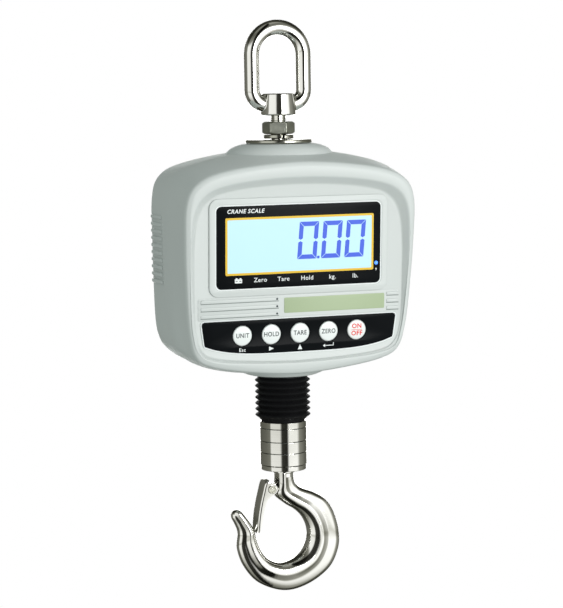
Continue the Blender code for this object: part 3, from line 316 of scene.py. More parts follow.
def publish(name: str, mesh: bmesh.types.BMesh, finish: str, body: Body | str | None,
            replaces: Iterable[str] = (), sharp: float = 32.0) -> bpy.types.Object:
    """Turn a mesh into a piece of the object.

    Args:
        name: the piece's name.
        mesh: its mesh, which is freed.
        finish: the finish it wears.
        body: the body it rides on, or None for a piece that rides on no body.
        replaces: CAD nodes that it stands for.
        sharp: edges over this angle in degrees stay crisp.

    Returns:
        The new object.
    """
    data = bpy.data.meshes.new(name)
    mesh.to_mesh(data)
    mesh.free()
    data.shade_smooth()
    data.set_sharp_from_angle(angle=math.radians(sharp))
    data.materials.append(Finishes.get(finish))
    piece = bpy.data.objects.new(name, data)
    bpy.context.scene.collection.objects.link(piece)
    if body is not None:
        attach(piece, body.value if isinstance(body, Body) else body)
    for node in replaces:
        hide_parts(node)
    LOG.info("%s, in %s, has %d faces", name, finish, len(data.polygons))
    return piece


def soften(piece: bpy.types.Object, width: float, segments: int = 2, angle: float = 32.0) -> None:
    """Round a piece's crisp edges with a Bevel modifier.

    Args:
        piece: the piece.
        width: how far the round reaches from the edge.
        segments: facets across the round.
        angle: only edges over this angle in degrees are rounded.
    """
    bevel = piece.modifiers.new("rounding", "BEVEL")
    bevel.width = width
    bevel.segments = segments
    bevel.limit_method = "ANGLE"
    bevel.angle_limit = math.radians(angle)


def tidy_mesh(mesh: bmesh.types.BMesh) -> None:
    """Merge doubled points and face every side outwards."""
    bmesh.ops.remove_doubles(mesh, verts=mesh.verts, dist=0.000002)
    bmesh.ops.recalc_face_normals(mesh, faces=mesh.faces)


def spun(profile: Profile, top: float = 0.0, steps: int = 96) -> bmesh.types.BMesh:
    """Spin a profile about the vertical axis.

    Args:
        profile: points of (radius, height).
        top: height that the profile's own zero stands at.
        steps: facets round the piece.

    Returns:
        A closed mesh.
    """
    mesh = bmesh.new()
    points = [mesh.verts.new((radius, 0.0, top + height)) for radius, height in profile]
    edges = [mesh.edges.new(pair) for pair in zip(points, points[1:] + points[:1])]
    bmesh.ops.spin(mesh, geom=points + edges, cent=(0, 0, 0), axis=(0, 0, 1), angle=math.tau,
                   steps=steps, use_merge=True)
    tidy_mesh(mesh)
    return mesh


def washer(outer: float, inner: float, height: float, chamfer: float, top: float = 0.0) -> bmesh.types.BMesh:
    """A turned ring with its four corners broken."""
    profile = (
        (outer - chamfer, 0), (outer, -chamfer), (outer, chamfer - height), (outer - chamfer, -height),
        (inner + chamfer, -height), (inner, chamfer - height), (inner, -chamfer), (inner + chamfer, 0),
    )
    return spun(profile, top)


def extruded_rings(rings: Sequence[Sequence[Vector]], closed_ends: bool = True,
                   closed_run: bool = False) -> bmesh.types.BMesh:
    """Pull a ring of edges through a run of stations.

    Args:
        rings: the stations, each with the same number of points.
        closed_ends: fill the first and the last ring.
        closed_run: bridge the last ring back to the first.

    Returns:
        The skinned mesh.
    """
    mesh = bmesh.new()
    verts = [mesh.verts.new(point) for point in rings[0]]
    edges = [mesh.edges.new(pair) for pair in zip(verts, verts[1:] + verts[:1])]
    first = list(edges)
    if closed_ends:
        mesh.faces.new(verts)
    for ring in rings[1:]:
        made = bmesh.ops.extrude_edge_only(mesh, edges=edges)["geom"]
        fresh = {old: None for old in verts}
        new_verts = [item for item in made if isinstance(item, bmesh.types.BMVert)]
        for vert in new_verts:
            for edge in vert.link_edges:
                other = edge.other_vert(vert)
                if other in fresh:
                    fresh[other] = vert
        verts = [fresh[old] for old in verts]
        for vert, point in zip(verts, ring):
            vert.co = point
        edges = [mesh.edges.get(pair) for pair in zip(verts, verts[1:] + verts[:1])]
    if closed_ends:
        mesh.faces.new(verts)
    if closed_run:
        bmesh.ops.bridge_loops(mesh, edges=first + edges)
    bmesh.ops.recalc_face_normals(mesh, faces=mesh.faces)
    return mesh


def curve_point(before: Vector, start: Vector, end: Vector, after: Vector, t: float) -> Vector:
    """A point on the centripetal curve through four points.

    Args:
        before: the point ahead of the span.
        start: the span's first point.
        end: the span's last point.
        after: the point behind the span.
        t: how far along the span, from 0 to 1.

    Returns:
        The point at t.
    """
    k0 = 0.0
    k1 = k0 + max((start - before).length, 1e-9) ** 0.5
    k2 = k1 + max((end - start).length, 1e-9) ** 0.5
    k3 = k2 + max((after - end).length, 1e-9) ** 0.5
    k = k1 + (k2 - k1) * t
    a1 = before.lerp(start, (k - k0) / (k1 - k0))
    a2 = start.lerp(end, (k - k1) / (k2 - k1))
    a3 = end.lerp(after, (k - k2) / (k3 - k2))
    b1 = a1.lerp(a2, (k - k0) / (k2 - k0))
    b2 = a2.lerp(a3, (k - k1) / (k3 - k1))
    return b1.lerp(b2, (k - k1) / (k2 - k1))


def smooth_run(points: Sequence[Vector], steps: int) -> list[Vector]:
    """Sample an open smooth curve through points, with steps samples to a span."""
    last = len(points) - 1
    out = []
    for i in range(last):
        span = [points[min(max(i + k - 1, 0), last)] for k in range(4)]
        out += [curve_point(*span, s / steps) for s in range(steps)]
    return out + [points[-1]]


def smooth_loop(points: Sequence[Vector], steps: int) -> list[Vector]:
    """Sample a closed smooth curve through points, with steps samples to a span."""
    count = len(points)
    out = []
    for i in range(count):
        span = [points[(i + k - 1) % count] for k in range(4)]
        out += [curve_point(*span, s / steps) for s in range(steps)]
    return out


def inset(points: Outline, distance: float) -> Outline:
    """Move a clockwise outline inwards by a distance."""
    moved = []
    count = len(points)
    for i, point in enumerate(points):
        along = (points[(i + 1) % count] - points[i - 1]).normalized()
        moved.append(point + Vector((along.y, -along.x)) * distance)
    return moved


def mingle(first: Outline, second: Outline, share: float) -> Outline:
    """An outline between two."""
    return [a.lerp(b, share) for a, b in zip(first, second)]


def rounded_box(width: float, height: float, radius: float, steps: int = 8) -> Outline:
    """A rectangle with round corners, centred on zero, clockwise from its top right corner.

    Args:
        width: overall width.
        height: overall height.
        radius: corner radius.
        steps: facets to a corner.

    Returns:
        The outline's points.
    """
    points = []
    for corner, (sx, sy) in enumerate(((1, 1), (1, -1), (-1, -1), (-1, 1))):
        centre = Vector((sx * (width / 2 - radius), sy * (height / 2 - radius)))
        for i in range(steps + 1):
            angle = math.radians(90 - 90 * corner - 90 * i / steps)
            points.append(centre + Vector((math.cos(angle), math.sin(angle))) * radius)
    return points


@dataclass
class Face:
    """The leaning recess floor that carries the display and the keys."""

    mid_z: float = -168.0 * MM
    mid_y: float = -41.9 * MM
    lean: float = math.radians(3.15)
    rim_mid_y: float = -46.6 * MM
    rim_lean: float = math.radians(6.07)

    def floor_y(self, z: float) -> float:
        """Depth of the recess floor at a height."""
        return self.mid_y - (z - self.mid_z) * math.tan(self.lean)

    def rim_y(self, z: float) -> float:
        """Depth of the rim's plane at a height."""
        return self.rim_mid_y - (z - self.mid_z) * math.tan(self.rim_lean)

    def at(self, x: float, z: float, proud: float = 0.0) -> Matrix:
        """A frame on the floor: its X runs right, its Y up the floor and its Z out of it."""
        turn = Matrix.Rotation(math.radians(90) + self.lean, 4, "X")
        return Matrix.Translation((x, self.floor_y(z), z)) @ turn @ Matrix.Translation((0, 0, proud))


FACE = Face()


def panel(outlines: Sequence[Sequence[Vector]], thickness: float, place: Matrix,
          rounding: float = 0.0) -> bmesh.types.BMesh:
    """A flat panel standing on a place's XY plane.

    Args:
        outlines: its border, then the borders of any holes or further shapes.
        thickness: how far it stands up.
        place: the frame that it lies in.
        rounding: radius that breaks its edges.

    Returns:
        The panel's mesh.
    """
    curve = bpy.data.curves.new("panel", "CURVE")
    curve.dimensions = "2D"
    curve.fill_mode = "BOTH"
    curve.extrude = thickness / 2 - rounding
    curve.bevel_depth = rounding
    curve.bevel_resolution = 2
    curve.offset = -rounding
    for points in outlines:
        spline = curve.splines.new("POLY")
        spline.points.add(len(points) - 1)
        for knot, point in zip(spline.points, points):
            knot.co = (point[0], point[1], 0.0, 1.0)
        spline.use_cyclic_u = True
    return from_curve(curve, place @ Matrix.Translation((0, 0, thickness / 2)))


def from_curve(curve: bpy.types.Curve, place: Matrix) -> bmesh.types.BMesh:
    """Turn a flat curve into a mesh at a place, and remove the curve."""
    holder = bpy.data.objects.new("flat", curve)
    bpy.context.scene.collection.objects.link(holder)
    bpy.context.view_layer.update()
    data = bpy.data.meshes.new_from_object(holder.evaluated_get(bpy.context.evaluated_depsgraph_get()))
    bpy.data.objects.remove(holder, do_unlink=True)
    bpy.data.curves.remove(curve)
    mesh = bmesh.new()
    mesh.from_mesh(data)
    bpy.data.meshes.remove(data)
    bmesh.ops.remove_doubles(mesh, verts=mesh.verts, dist=0.000001)
    bmesh.ops.recalc_face_normals(mesh, faces=mesh.faces)
    bmesh.ops.transform(mesh, matrix=place, verts=mesh.verts)
    return mesh


def gather(meshes: Iterable[bmesh.types.BMesh]) -> bmesh.types.BMesh:
    """Put several meshes into one and free them."""
    joined = bmesh.new()
    for mesh in meshes:
        data = bpy.data.meshes.new("part")
        mesh.to_mesh(data)
        mesh.free()
        joined.from_mesh(data)
        bpy.data.meshes.remove(data)
    return joined


def lettering(text: str, height: float, place: Matrix, bold: float = 0.0, slant: float = 0.0,
              thickness: float = 0.05 * MM) -> bmesh.types.BMesh:
    """Printed words as a thin raised mesh, centred on a place.

    Args:
        text: the words.
        height: capital height.
        place: the frame that the words lie in.
        bold: extra stroke width.
        slant: shear of an italic.
        thickness: print height.

    Returns:
        The words' mesh.
    """
    curve = bpy.data.curves.new("words", "FONT")
    curve.body = text
    curve.size = height / 0.72
    curve.offset = bold
    curve.shear = slant
    curve.space_character = 1.1
    curve.align_x = "CENTER"
    curve.align_y = "CENTER"
    curve.extrude = thickness / 2
    curve.resolution_u = 4
    return from_curve(curve, place @ Matrix.Translation((0, 0, thickness / 2)))


def carve(piece: bpy.types.Object, cutters: Iterable[bmesh.types.BMesh]) -> None:
    """Cut shapes out of a piece for good.

    Args:
        piece: the piece to cut.
        cutters: the shapes to take away, which are freed.
    """
    data = bpy.data.meshes.new("cutter")
    tool = gather(cutters)
    bmesh.ops.recalc_face_normals(tool, faces=tool.faces)
    tool.to_mesh(data)
    tool.free()
    cutter = bpy.data.objects.new("cutter", data)
    bpy.context.scene.collection.objects.link(cutter)
    boolean = piece.modifiers.new("cut", "BOOLEAN")
    boolean.operation = "DIFFERENCE"
    boolean.solver = "EXACT"
    boolean.use_self = True
    boolean.object = cutter
    bpy.context.view_layer.update()
    result = bpy.data.meshes.new_from_object(piece.evaluated_get(bpy.context.evaluated_depsgraph_get()))
    piece.modifiers.remove(boolean)
    old = piece.data
    piece.data = result
    bpy.data.meshes.remove(old)
    bpy.data.objects.remove(cutter, do_unlink=True)
    bpy.data.meshes.remove(data)
    result.set_sharp_from_angle(angle=math.radians(32))


def rod(radius: float, length: float, place: Matrix, sides: int = 40) -> bmesh.types.BMesh:
    """A cylinder centred on a place, along its Z."""
    mesh = bmesh.new()
    bmesh.ops.create_cone(mesh, cap_ends=True, segments=sides, radius1=radius, radius2=radius, depth=length)
    bmesh.ops.transform(mesh, matrix=place, verts=mesh.verts)
    return mesh


def block(size: tuple[float, float, float], place: Matrix) -> bmesh.types.BMesh:
    """A box centred on a place."""
    mesh = bmesh.new()
    bmesh.ops.create_cube(mesh, size=1.0, matrix=place @ Matrix.Diagonal((*size, 1.0)))
    return mesh


def shift(x: float, y: float, z: float) -> Matrix:
    """A place that is only moved."""
    return Matrix.Translation((x, y, z))


def along_y(x: float, y: float, z: float) -> Matrix:
    """A place whose Z axis runs to the rear."""
    return Matrix.Translation((x, y, z)) @ Matrix.Rotation(math.radians(-90), 4, "X")


def melt(piece: bpy.types.Object, grain: float, passes: int) -> None:
    """Flow a piece's overlapping shapes into one forging with soft fillets.

    Args:
        piece: the piece.
        grain: size of the new mesh's cells.
        passes: how often it is smoothed.
    """
    remesh = piece.modifiers.new("forging", "REMESH")
    remesh.mode = "VOXEL"
    remesh.voxel_size = grain
    remesh.use_smooth_shade = True
    smooth = piece.modifiers.new("fillets", "SMOOTH")
    smooth.factor = 0.5
    smooth.iterations = passes


# Levels on the hang axis, with the hang point at zero.
BOSS_BOTTOM = -59.8 * MM
CASE_TOP = -80.8 * MM
CROWN_Z = -84.0 * MM
WINDOW_Z = -154.6 * MM
KEY_Z = -219.6 * MM
SOLE_Z = -252.0 * MM
CASE_BOTTOM = -254.4 * MM
BELLOWS_TOP = -254.7 * MM
HOOK_TOP = -327.7 * MM

# Sizes and places that more than one class uses. The shells stand off each other by twice the half seam.
HALF_W = 92.3 * MM
REAR_DEPTH = 40.0 * MM
HALF_SEAM = 0.15 * MM
BELLOWS_H = 35.6 * MM
SWIVEL_R = 17.75 * MM
LATCH_PIN = Vector((-12.0 * MM, 0.0, -342.0 * MM))


@dataclass
class SuspensionEye:
    """Forged lifting ring with its boss and stud, lock nut, split washer and flat washer."""

    wire_r: float = 5.75 * MM
    half_w: float = 20.5 * MM
    drop: float = 43.4 * MM
    corner_r: float = 11.0 * MM
    sag: float = 2.35 * MM
    boss_r: float = 13.3 * MM
    stud_r: float = 6.0 * MM
    nut_corners: float = 24.6 * MM
    nut_top: float = -64.4 * MM
    spring_top: float = -74.15 * MM
    flat_top: float = -77.7 * MM
    pieces: list = field(default_factory=list)

    def loop(self) -> list[tuple[Vector, Vector]]:
        """The wire's centreline as (point, direction) pairs, once round."""
        crown = self.wire_r - self.half_w
        low = -(self.drop + self.wire_r + self.sag) + self.corner_r
        side = self.half_w - self.corner_r
        arcs = ((0.0, crown, self.half_w, 180, 0, 48), (side, low, self.corner_r, 0, -90, 14),
                (-side, low, self.corner_r, -90, -180, 14))
        points = []
        for x, z, radius, start, end, steps in arcs:
            for i in range(steps + 1):
                angle = math.radians(start + (end - start) * i / steps)
                where = Vector((x + radius * math.cos(angle), 0.0, z + radius * math.sin(angle)))
                points.append((where, Vector((math.sin(angle), 0.0, -math.cos(angle)))))
        return points

    def build(self) -> None:
        """Make the forging, the nut and both washers."""
        rings = []
        for where, along in self.loop():
            out = along.cross(Vector((0, 1, 0)))
            ring = []
            for i in range(32):
                angle = math.tau * i / 32
                spoke = out * math.cos(angle) + Vector((0, 1, 0)) * math.sin(angle)
                ring.append(where + spoke * self.wire_r)
            rings.append(ring)
        wire = extruded_rings(rings, closed_ends=False, closed_run=True)
        top = -self.drop
        boss = spun(((0, top), (self.boss_r - 1.5 * MM, top), (self.boss_r - 1.1 * MM, top - 0.5 * MM),
                     (self.boss_r, BOSS_BOTTOM + 0.9 * MM), (self.boss_r - 0.9 * MM, BOSS_BOTTOM),
                     (0, BOSS_BOTTOM)))
        eye = publish("lifting_eye", gather([wire, boss]), "polished_steel", Body.HOUSING,
                      replaces=["suspension_eye"])
        melt(eye, 0.45 * MM, 7)
        stud = self.thread(BOSS_BOTTOM + 1 * MM, CASE_TOP - 2 * MM)
        self.pieces = [eye, publish("eye_stud", stud, "turned_steel", Body.HOUSING)]
        self.build_nut()
        self.build_washers()

    def thread(self, top: float, bottom: float) -> bmesh.types.BMesh:
        """The stud between two heights, with a rolled thread."""
        pitch = 1.5 * MM
        profile = [(0, top), (self.stud_r, top)]
        turns = int((top - bottom) / pitch)
        for i in range(turns):
            profile.append((self.stud_r - 0.75 * MM, top - (i + 0.5) * pitch))
            profile.append((self.stud_r, top - (i + 1) * pitch))
        return spun([*profile, (0, top - turns * pitch)], steps=64)

    def build_nut(self) -> None:
        """Hexagon nut whose corners are turned away at both faces."""
        flat = self.nut_corners / 2 * math.cos(math.radians(30))
        top = self.nut_top
        rings = []
        for drop, limit in ((0, 0.95), (0.2, 1.0), (0.6, 1.06), (1.3, 1.16), (8.0, 1.16), (8.7, 1.06),
                            (9.1, 1.0), (9.3, 0.95)):
            ring = []
            for i in range(96):
                angle = math.tau * i / 96
                from_flat = (angle + math.radians(30)) % math.radians(60) - math.radians(30)
                radius = min(flat / math.cos(from_flat), flat * limit)
                ring.append(Vector((radius * math.cos(angle), radius * math.sin(angle), top - drop * MM)))
            rings.append(ring)
        nut = extruded_rings(rings)
        turn = Matrix.Rotation(math.radians(9), 4, "Z")
        bmesh.ops.transform(nut, matrix=turn, verts=nut.verts)
        self.pieces.append(publish("lock_nut", nut, "zinc", Body.HOUSING, replaces=["eye_lock_nut"]))

    def build_washers(self) -> None:
        """Split spring washer, sprung open at the front, over a broad flat washer."""
        rings = []
        inner, outer, thick = 6.6 * MM, 11.2 * MM, 3.0 * MM
        for i in range(73):
            angle = math.radians(-86 + 352 * i / 72)
            rise = (i / 72 - 0.5) * 0.5 * MM
            top = self.spring_top + rise
            ring = []
            for radius, height in ((inner, top), (outer - 0.4 * MM, top), (outer, top - 0.4 * MM),
                                   (outer, top - thick + 0.4 * MM), (outer - 0.4 * MM, top - thick),
                                   (inner, top - thick)):
                ring.append(Vector((radius * math.cos(angle), radius * math.sin(angle), height)))
            rings.append(ring)
        split = publish("split_washer", extruded_rings(rings), "dull_steel", Body.HOUSING,
                        replaces=["eye_spring_washer"])
        plate = washer(25 * MM, 6.5 * MM, 2.8 * MM, 0.5 * MM, self.flat_top)
        flat = publish("flat_washer", plate, "dull_steel", Body.HOUSING,
                       replaces=["eye_flat_washer"])
        self.pieces += [split, flat]

    def dress(self) -> None:
        """Break the crisp edges."""
        for piece in self.pieces[2:]:
            soften(piece, 0.25 * MM)


@dataclass
class Outlines:
    """The housing's outlines in mm: in from the side, then down from the crown or up from the sole."""

    body_upper: Profile = ((54, 3.4), (21, 10.4), (10, 15.5), (3.3, 23.4), (0.3, 36.8), (0, 66))
    body_lower: Profile = ((0.3, 71), (1.3, 40), (2.8, 30), (6.3, 21.5), (14.3, 13.5), (26, 7), (52, 1.5))
    bezel_upper: Profile = ((56, 10.6), (28, 15.2), (15.3, 20), (6.8, 27.5), (2.8, 39), (2.3, 66))
    bezel_lower: Profile = ((3.6, 71), (5.7, 43), (7.5, 31), (10, 21), (14.8, 14), (25.3, 9.2), (54, 4))
    recess_upper: Profile = ((58, 21.8), (34, 25.2), (22, 29), (13.8, 35.5), (9.1, 46), (7.3, 66))
    recess_lower: Profile = ((7.7, 71), (9.1, 43), (10.5, 33), (12.9, 24), (18.3, 17.5), (29, 14),
                             (56, 11.4))
    floor_upper: Profile = ((60, 27.2), (38, 30), (26, 33.6), (18.3, 40), (13.7, 50), (11.3, 68))
    floor_lower: Profile = ((11, 71), (11.5, 44), (12.7, 34.5), (14.9, 26), (19.8, 19.6), (30, 16),
                            (56.8, 13.2))

    def loop(self, upper: Profile, lower: Profile, top: float, bottom: float, steps: int = 6) -> Outline:
        """A whole symmetric outline, clockwise from its top middle.

        Args:
            upper: points of its upper half, from the middle to the side.
            lower: points of its lower half, from the side to the middle.
            top: drop at the middle, in mm.
            bottom: rise at the middle, in mm.
            steps: samples to a span.

        Returns:
            The outline's points.
        """
        right = [Vector((0, CROWN_Z - top * MM))]
        right += [Vector((HALF_W - x * MM, CROWN_Z - z * MM)) for x, z in upper]
        right += [Vector((HALF_W - x * MM, SOLE_Z + z * MM)) for x, z in lower]
        right.append(Vector((0, SOLE_Z + bottom * MM)))
        left = [Vector((-p.x, p.y)) for p in reversed(right[1:-1])]
        return smooth_loop(right + left, steps)

    def body(self) -> Outline:
        """The outline at the parting line."""
        return self.loop(self.body_upper, self.body_lower, 0, 0)

    def bezel(self) -> Outline:
        """The outline at the rim's outer edge."""
        return self.loop(self.bezel_upper, self.bezel_lower, 8.3, 1)

    def recess(self) -> Outline:
        """The outline at the rim's inner edge."""
        return self.loop(self.recess_upper, self.recess_lower, 20.3, 10.2)

    def floor(self) -> Outline:
        """The outline at the foot of the recess wall."""
        return self.loop(self.floor_upper, self.floor_lower, 25.9, 11.8)


def station(points: Outline, depth: Depth) -> list[Vector]:
    """Stand an outline up at a depth, or at a depth for each height."""
    return [Vector((p.x, depth(p.y) if callable(depth) else depth, p.y)) for p in points]


def fair(stations: Sequence[Sequence[Vector]], steps: int) -> list[list[Vector]]:
    """Run a smooth curve through the matching points of several stations."""
    runs = [smooth_run(points, steps) for points in zip(*stations)]
    return [list(ring) for ring in zip(*runs)]


@dataclass
class Housing:
    """Two moulded shells with their collars, side ridges, rear door, screws and charging cap."""

    outlines: Outlines = field(default_factory=Outlines)
    rear_step: float = 1.0 * MM
    screw_x: float = 72.0 * MM
    screw_zs: tuple[float, float] = (-114.0 * MM, -226.0 * MM)
    door_z: float = -205.4 * MM
    door: tuple[float, float] = (92.0 * MM, 64.0 * MM)
    door_screw_x: float = 41.0 * MM
    cap_place: tuple[float, float] = (64.0 * MM, -180.4 * MM)
    ridge_count: int = 10
    ridge_top: float = -133.6 * MM
    ridge_pitch: float = 5.35 * MM
    pieces: list = field(default_factory=list)

    def build(self) -> None:
        """Make both shells and everything fixed to them."""
        self.build_front()
        self.build_rear()
        self.build_fittings()

    def build_front(self) -> None:
        """The front shell: flared sides, a rounded rim and a recess with sloping walls."""
        body, bezel = self.outlines.body(), self.outlines.bezel()
        recess, floor = self.outlines.recess(), self.outlines.floor()
        rings = [station(inset(body, 3.0 * MM), -HALF_SEAM), station(inset(body, 0.5 * MM), -HALF_SEAM)]
        rings += fair((
            station(body, -0.75 * MM), station(inset(body, 0.3 * MM), -14 * MM),
            station(mingle(body, bezel, 0.75), lambda z: FACE.rim_y(z) + 12 * MM),
            station(bezel, lambda z: FACE.rim_y(z) + 4.5 * MM),
        ), 5)
        rings += fair((
            station(bezel, lambda z: FACE.rim_y(z) + 4.2 * MM),
            station(inset(bezel, 1.3 * MM), lambda z: FACE.rim_y(z) + 1.3 * MM),
            station(inset(bezel, 4.2 * MM), FACE.rim_y),
        ), 5)
        rings += fair((
            station(inset(recess, -0.9 * MM), FACE.rim_y),
            station(inset(recess, -0.2 * MM), lambda z: FACE.rim_y(z) + 0.25 * MM),
            station(mingle(recess, floor, 0.12), lambda z: FACE.rim_y(z) + 0.95 * MM),
        ), 3)
        rings += fair((
            station(mingle(recess, floor, 0.78), lambda z: FACE.floor_y(z) - 0.9 * MM),
            station(mingle(recess, floor, 0.93), lambda z: FACE.floor_y(z) - 0.25 * MM),
            station(inset(floor, 0.4 * MM), FACE.floor_y),
        ), 3)
        shell = publish("front_housing", extruded_rings(rings), "shell", Body.HOUSING,
                        replaces=["front_shell"])
        collars = publish("front_collars", gather(self.collars(-1)), "shell", Body.HOUSING)
        soften(collars, 0.35 * MM)
        self.pieces += [shell, collars]

    def collars(self, side: int) -> list[bmesh.types.BMesh]:
        """Half of the upper and lower collar, on the front (-1) or the rear (1)."""
        upper = ((9.3, 0), (26.2, 0), (27.2, -0.1), (28.6, -0.35), (30.5, -0.8), (33, -1.6), (35.5, -2.6),
                 (37.2, -3.5), (38.6, -4.6), (40, -6.0), (42, -8.2), (42, -14), (9.3, -14))
        lower = ((16, 0), (25.6, 0), (26.8, 0.15), (28.2, 0.6), (30, 1.3), (32.5, 2.3), (36, 3.6), (40, 5.2),
                 (40, 12), (16, 12))
        shrink = 0.5 if side > 0 else 0.62
        made = []
        for profile, level in ((upper, CASE_TOP), (lower, CASE_BOTTOM)):
            rings = []
            for i in range(49):
                angle = math.radians(0.3 + 179.4 * i / 48) * side
                ring = []
                for radius, height in profile:
                    deep = min(radius, 27 + (radius - 27) * shrink)
                    ring.append(Vector((radius * MM * math.cos(angle),
                                        deep * MM * math.sin(angle) + side * HALF_SEAM,
                                        level + height * MM)))
                rings.append(ring)
            made.append(extruded_rings(rings))
        return made

    def build_rear(self) -> None:
        """The rear shell, with its screw wells, door pocket and cap pocket."""
        body = inset(self.outlines.body(), self.rear_step)
        radius = 10 * MM
        rings = [station(inset(body, 3.0 * MM), HALF_SEAM), station(inset(body, 0.5 * MM), HALF_SEAM),
                 station(body, 0.75 * MM), station(body, 12 * MM)]
        for i in range(11):
            angle = math.radians(9 * i)
            rings.append(station(inset(body, 0.2 * MM + radius * (1 - math.cos(angle))),
                                 REAR_DEPTH - radius * (1 - math.sin(angle))))
        shell = publish("rear_housing", extruded_rings(rings), "shell", Body.HOUSING,
                        replaces=["rear_shell"])
        cutters = [rod(3.9 * MM, 26 * MM, along_y(x, REAR_DEPTH - 5 * MM, z)) for x, z in self.screws()]
        pocket = rounded_box(self.door[0] + 0.6 * MM, self.door[1] + 0.6 * MM, 3 * MM)
        cutters.append(panel([pocket], 6 * MM, along_y(0, REAR_DEPTH - 2.3 * MM, self.door_z)))
        cutters.append(rod(7 * MM, 4 * MM, along_y(self.cap_place[0], REAR_DEPTH, self.cap_place[1])))
        carve(shell, cutters)
        collars = publish("rear_collars", gather(self.collars(1)), "shell", Body.HOUSING)
        soften(collars, 0.35 * MM)
        bars = []
        for side in (-1, 1):
            for i in range(self.ridge_count):
                z = self.ridge_top - i * self.ridge_pitch
                x = side * (HALF_W - self.rear_step + 0.2 * MM)
                bars.append(block((2.4 * MM, 25.5 * MM, 2.9 * MM), shift(x, 17 * MM, z)))
        ridges = publish("side_ridges", gather(bars), "shell", Body.HOUSING)
        soften(ridges, 1.1 * MM, 4)
        self.pieces += [shell, collars, ridges]

    def screws(self) -> list[tuple[float, float]]:
        """Where the four case screws are, as (x, z)."""
        return [(side * self.screw_x, z) for z in self.screw_zs for side in (-1, 1)]

    def screw(self, name: str, radius: float, x: float, y: float, z: float, node: str) -> None:
        """A pan head with a cross recess, whose top is at depth y."""
        place = along_y(x, y, z)
        profile = ((0, 0), (0.55 * radius, -0.04 * radius), (0.85 * radius, -0.2 * radius),
                   (radius, -0.5 * radius), (radius, -0.8 * radius), (0, -0.8 * radius))
        mesh = spun(profile, steps=40)
        bmesh.ops.transform(mesh, matrix=place, verts=mesh.verts)
        head = publish(name, mesh, "zinc", Body.HOUSING, replaces=[node])
        turn = Matrix.Rotation(math.radians(23 if x > 0 else 61), 4, "Z")
        size = (1.15 * radius, 0.24 * radius, 0.9 * radius)
        carve(head, [block(size, place @ turn), block((size[1], size[0], size[2]), place @ turn)])
        self.pieces.append(head)

    def build_fittings(self) -> None:
        """Battery door, screws and charging cap."""
        lying = along_y(0, REAR_DEPTH - 2.2 * MM, self.door_z)
        mesh = panel([rounded_box(*self.door, 2.7 * MM)], 2.2 * MM, lying, 0.4 * MM)
        door = publish("rear_door", mesh, "shell", Body.HOUSING, replaces=["battery_door"])
        cutters = []
        for i in range(6):
            at_z = self.door_z + (i - 2.5) * 3.2 * MM
            cutters.append(block((34 * MM, 1.2 * MM, 1.4 * MM), shift(0, REAR_DEPTH, at_z)))
        for side in (-1, 1):
            place = along_y(side * self.door_screw_x, REAR_DEPTH, self.door_z)
            cutters.append(rod(2.9 * MM, 2.6 * MM, place))
        carve(door, cutters)
        self.pieces.append(door)
        for i, (x, z) in enumerate(self.screws(), start=1):
            self.screw(f"case_screw_head_{i}", 3.5 * MM, x, 10.6 * MM, z, f"case_screw_{i}")
        for i, side in enumerate((-1, 1), start=1):
            self.screw(f"door_screw_head_{i}", 2.4 * MM, side * self.door_screw_x, REAR_DEPTH - 0.1 * MM,
                       self.door_z, f"battery_door_screw_{i}")
        x, z = self.cap_place
        profile = ((0, 0.5 * MM), (5.4 * MM, 0.5 * MM), (6.4 * MM, 0.1 * MM), (6.7 * MM, -0.5 * MM),
                   (6.7 * MM, -1.9 * MM), (0, -1.9 * MM))
        mesh = spun(profile, steps=64)
        bmesh.ops.transform(mesh, matrix=along_y(x, REAR_DEPTH, z), verts=mesh.verts)
        cap = publish("socket_cap", mesh, "rubber", Body.HOUSING, replaces=["charge_cap"])
        tab = panel([rounded_box(5 * MM, 2.2 * MM, 1 * MM, 6)], 0.9 * MM,
                    along_y(x, REAR_DEPTH + 0.3 * MM, z), 0.3 * MM)
        self.pieces += [cap, publish("socket_cap_tab", tab, "rubber", Body.HOUSING)]

    def dress(self) -> None:
        """Break the crisp edges of the charging cap."""
        soften(self.pieces[-2], 0.15 * MM)


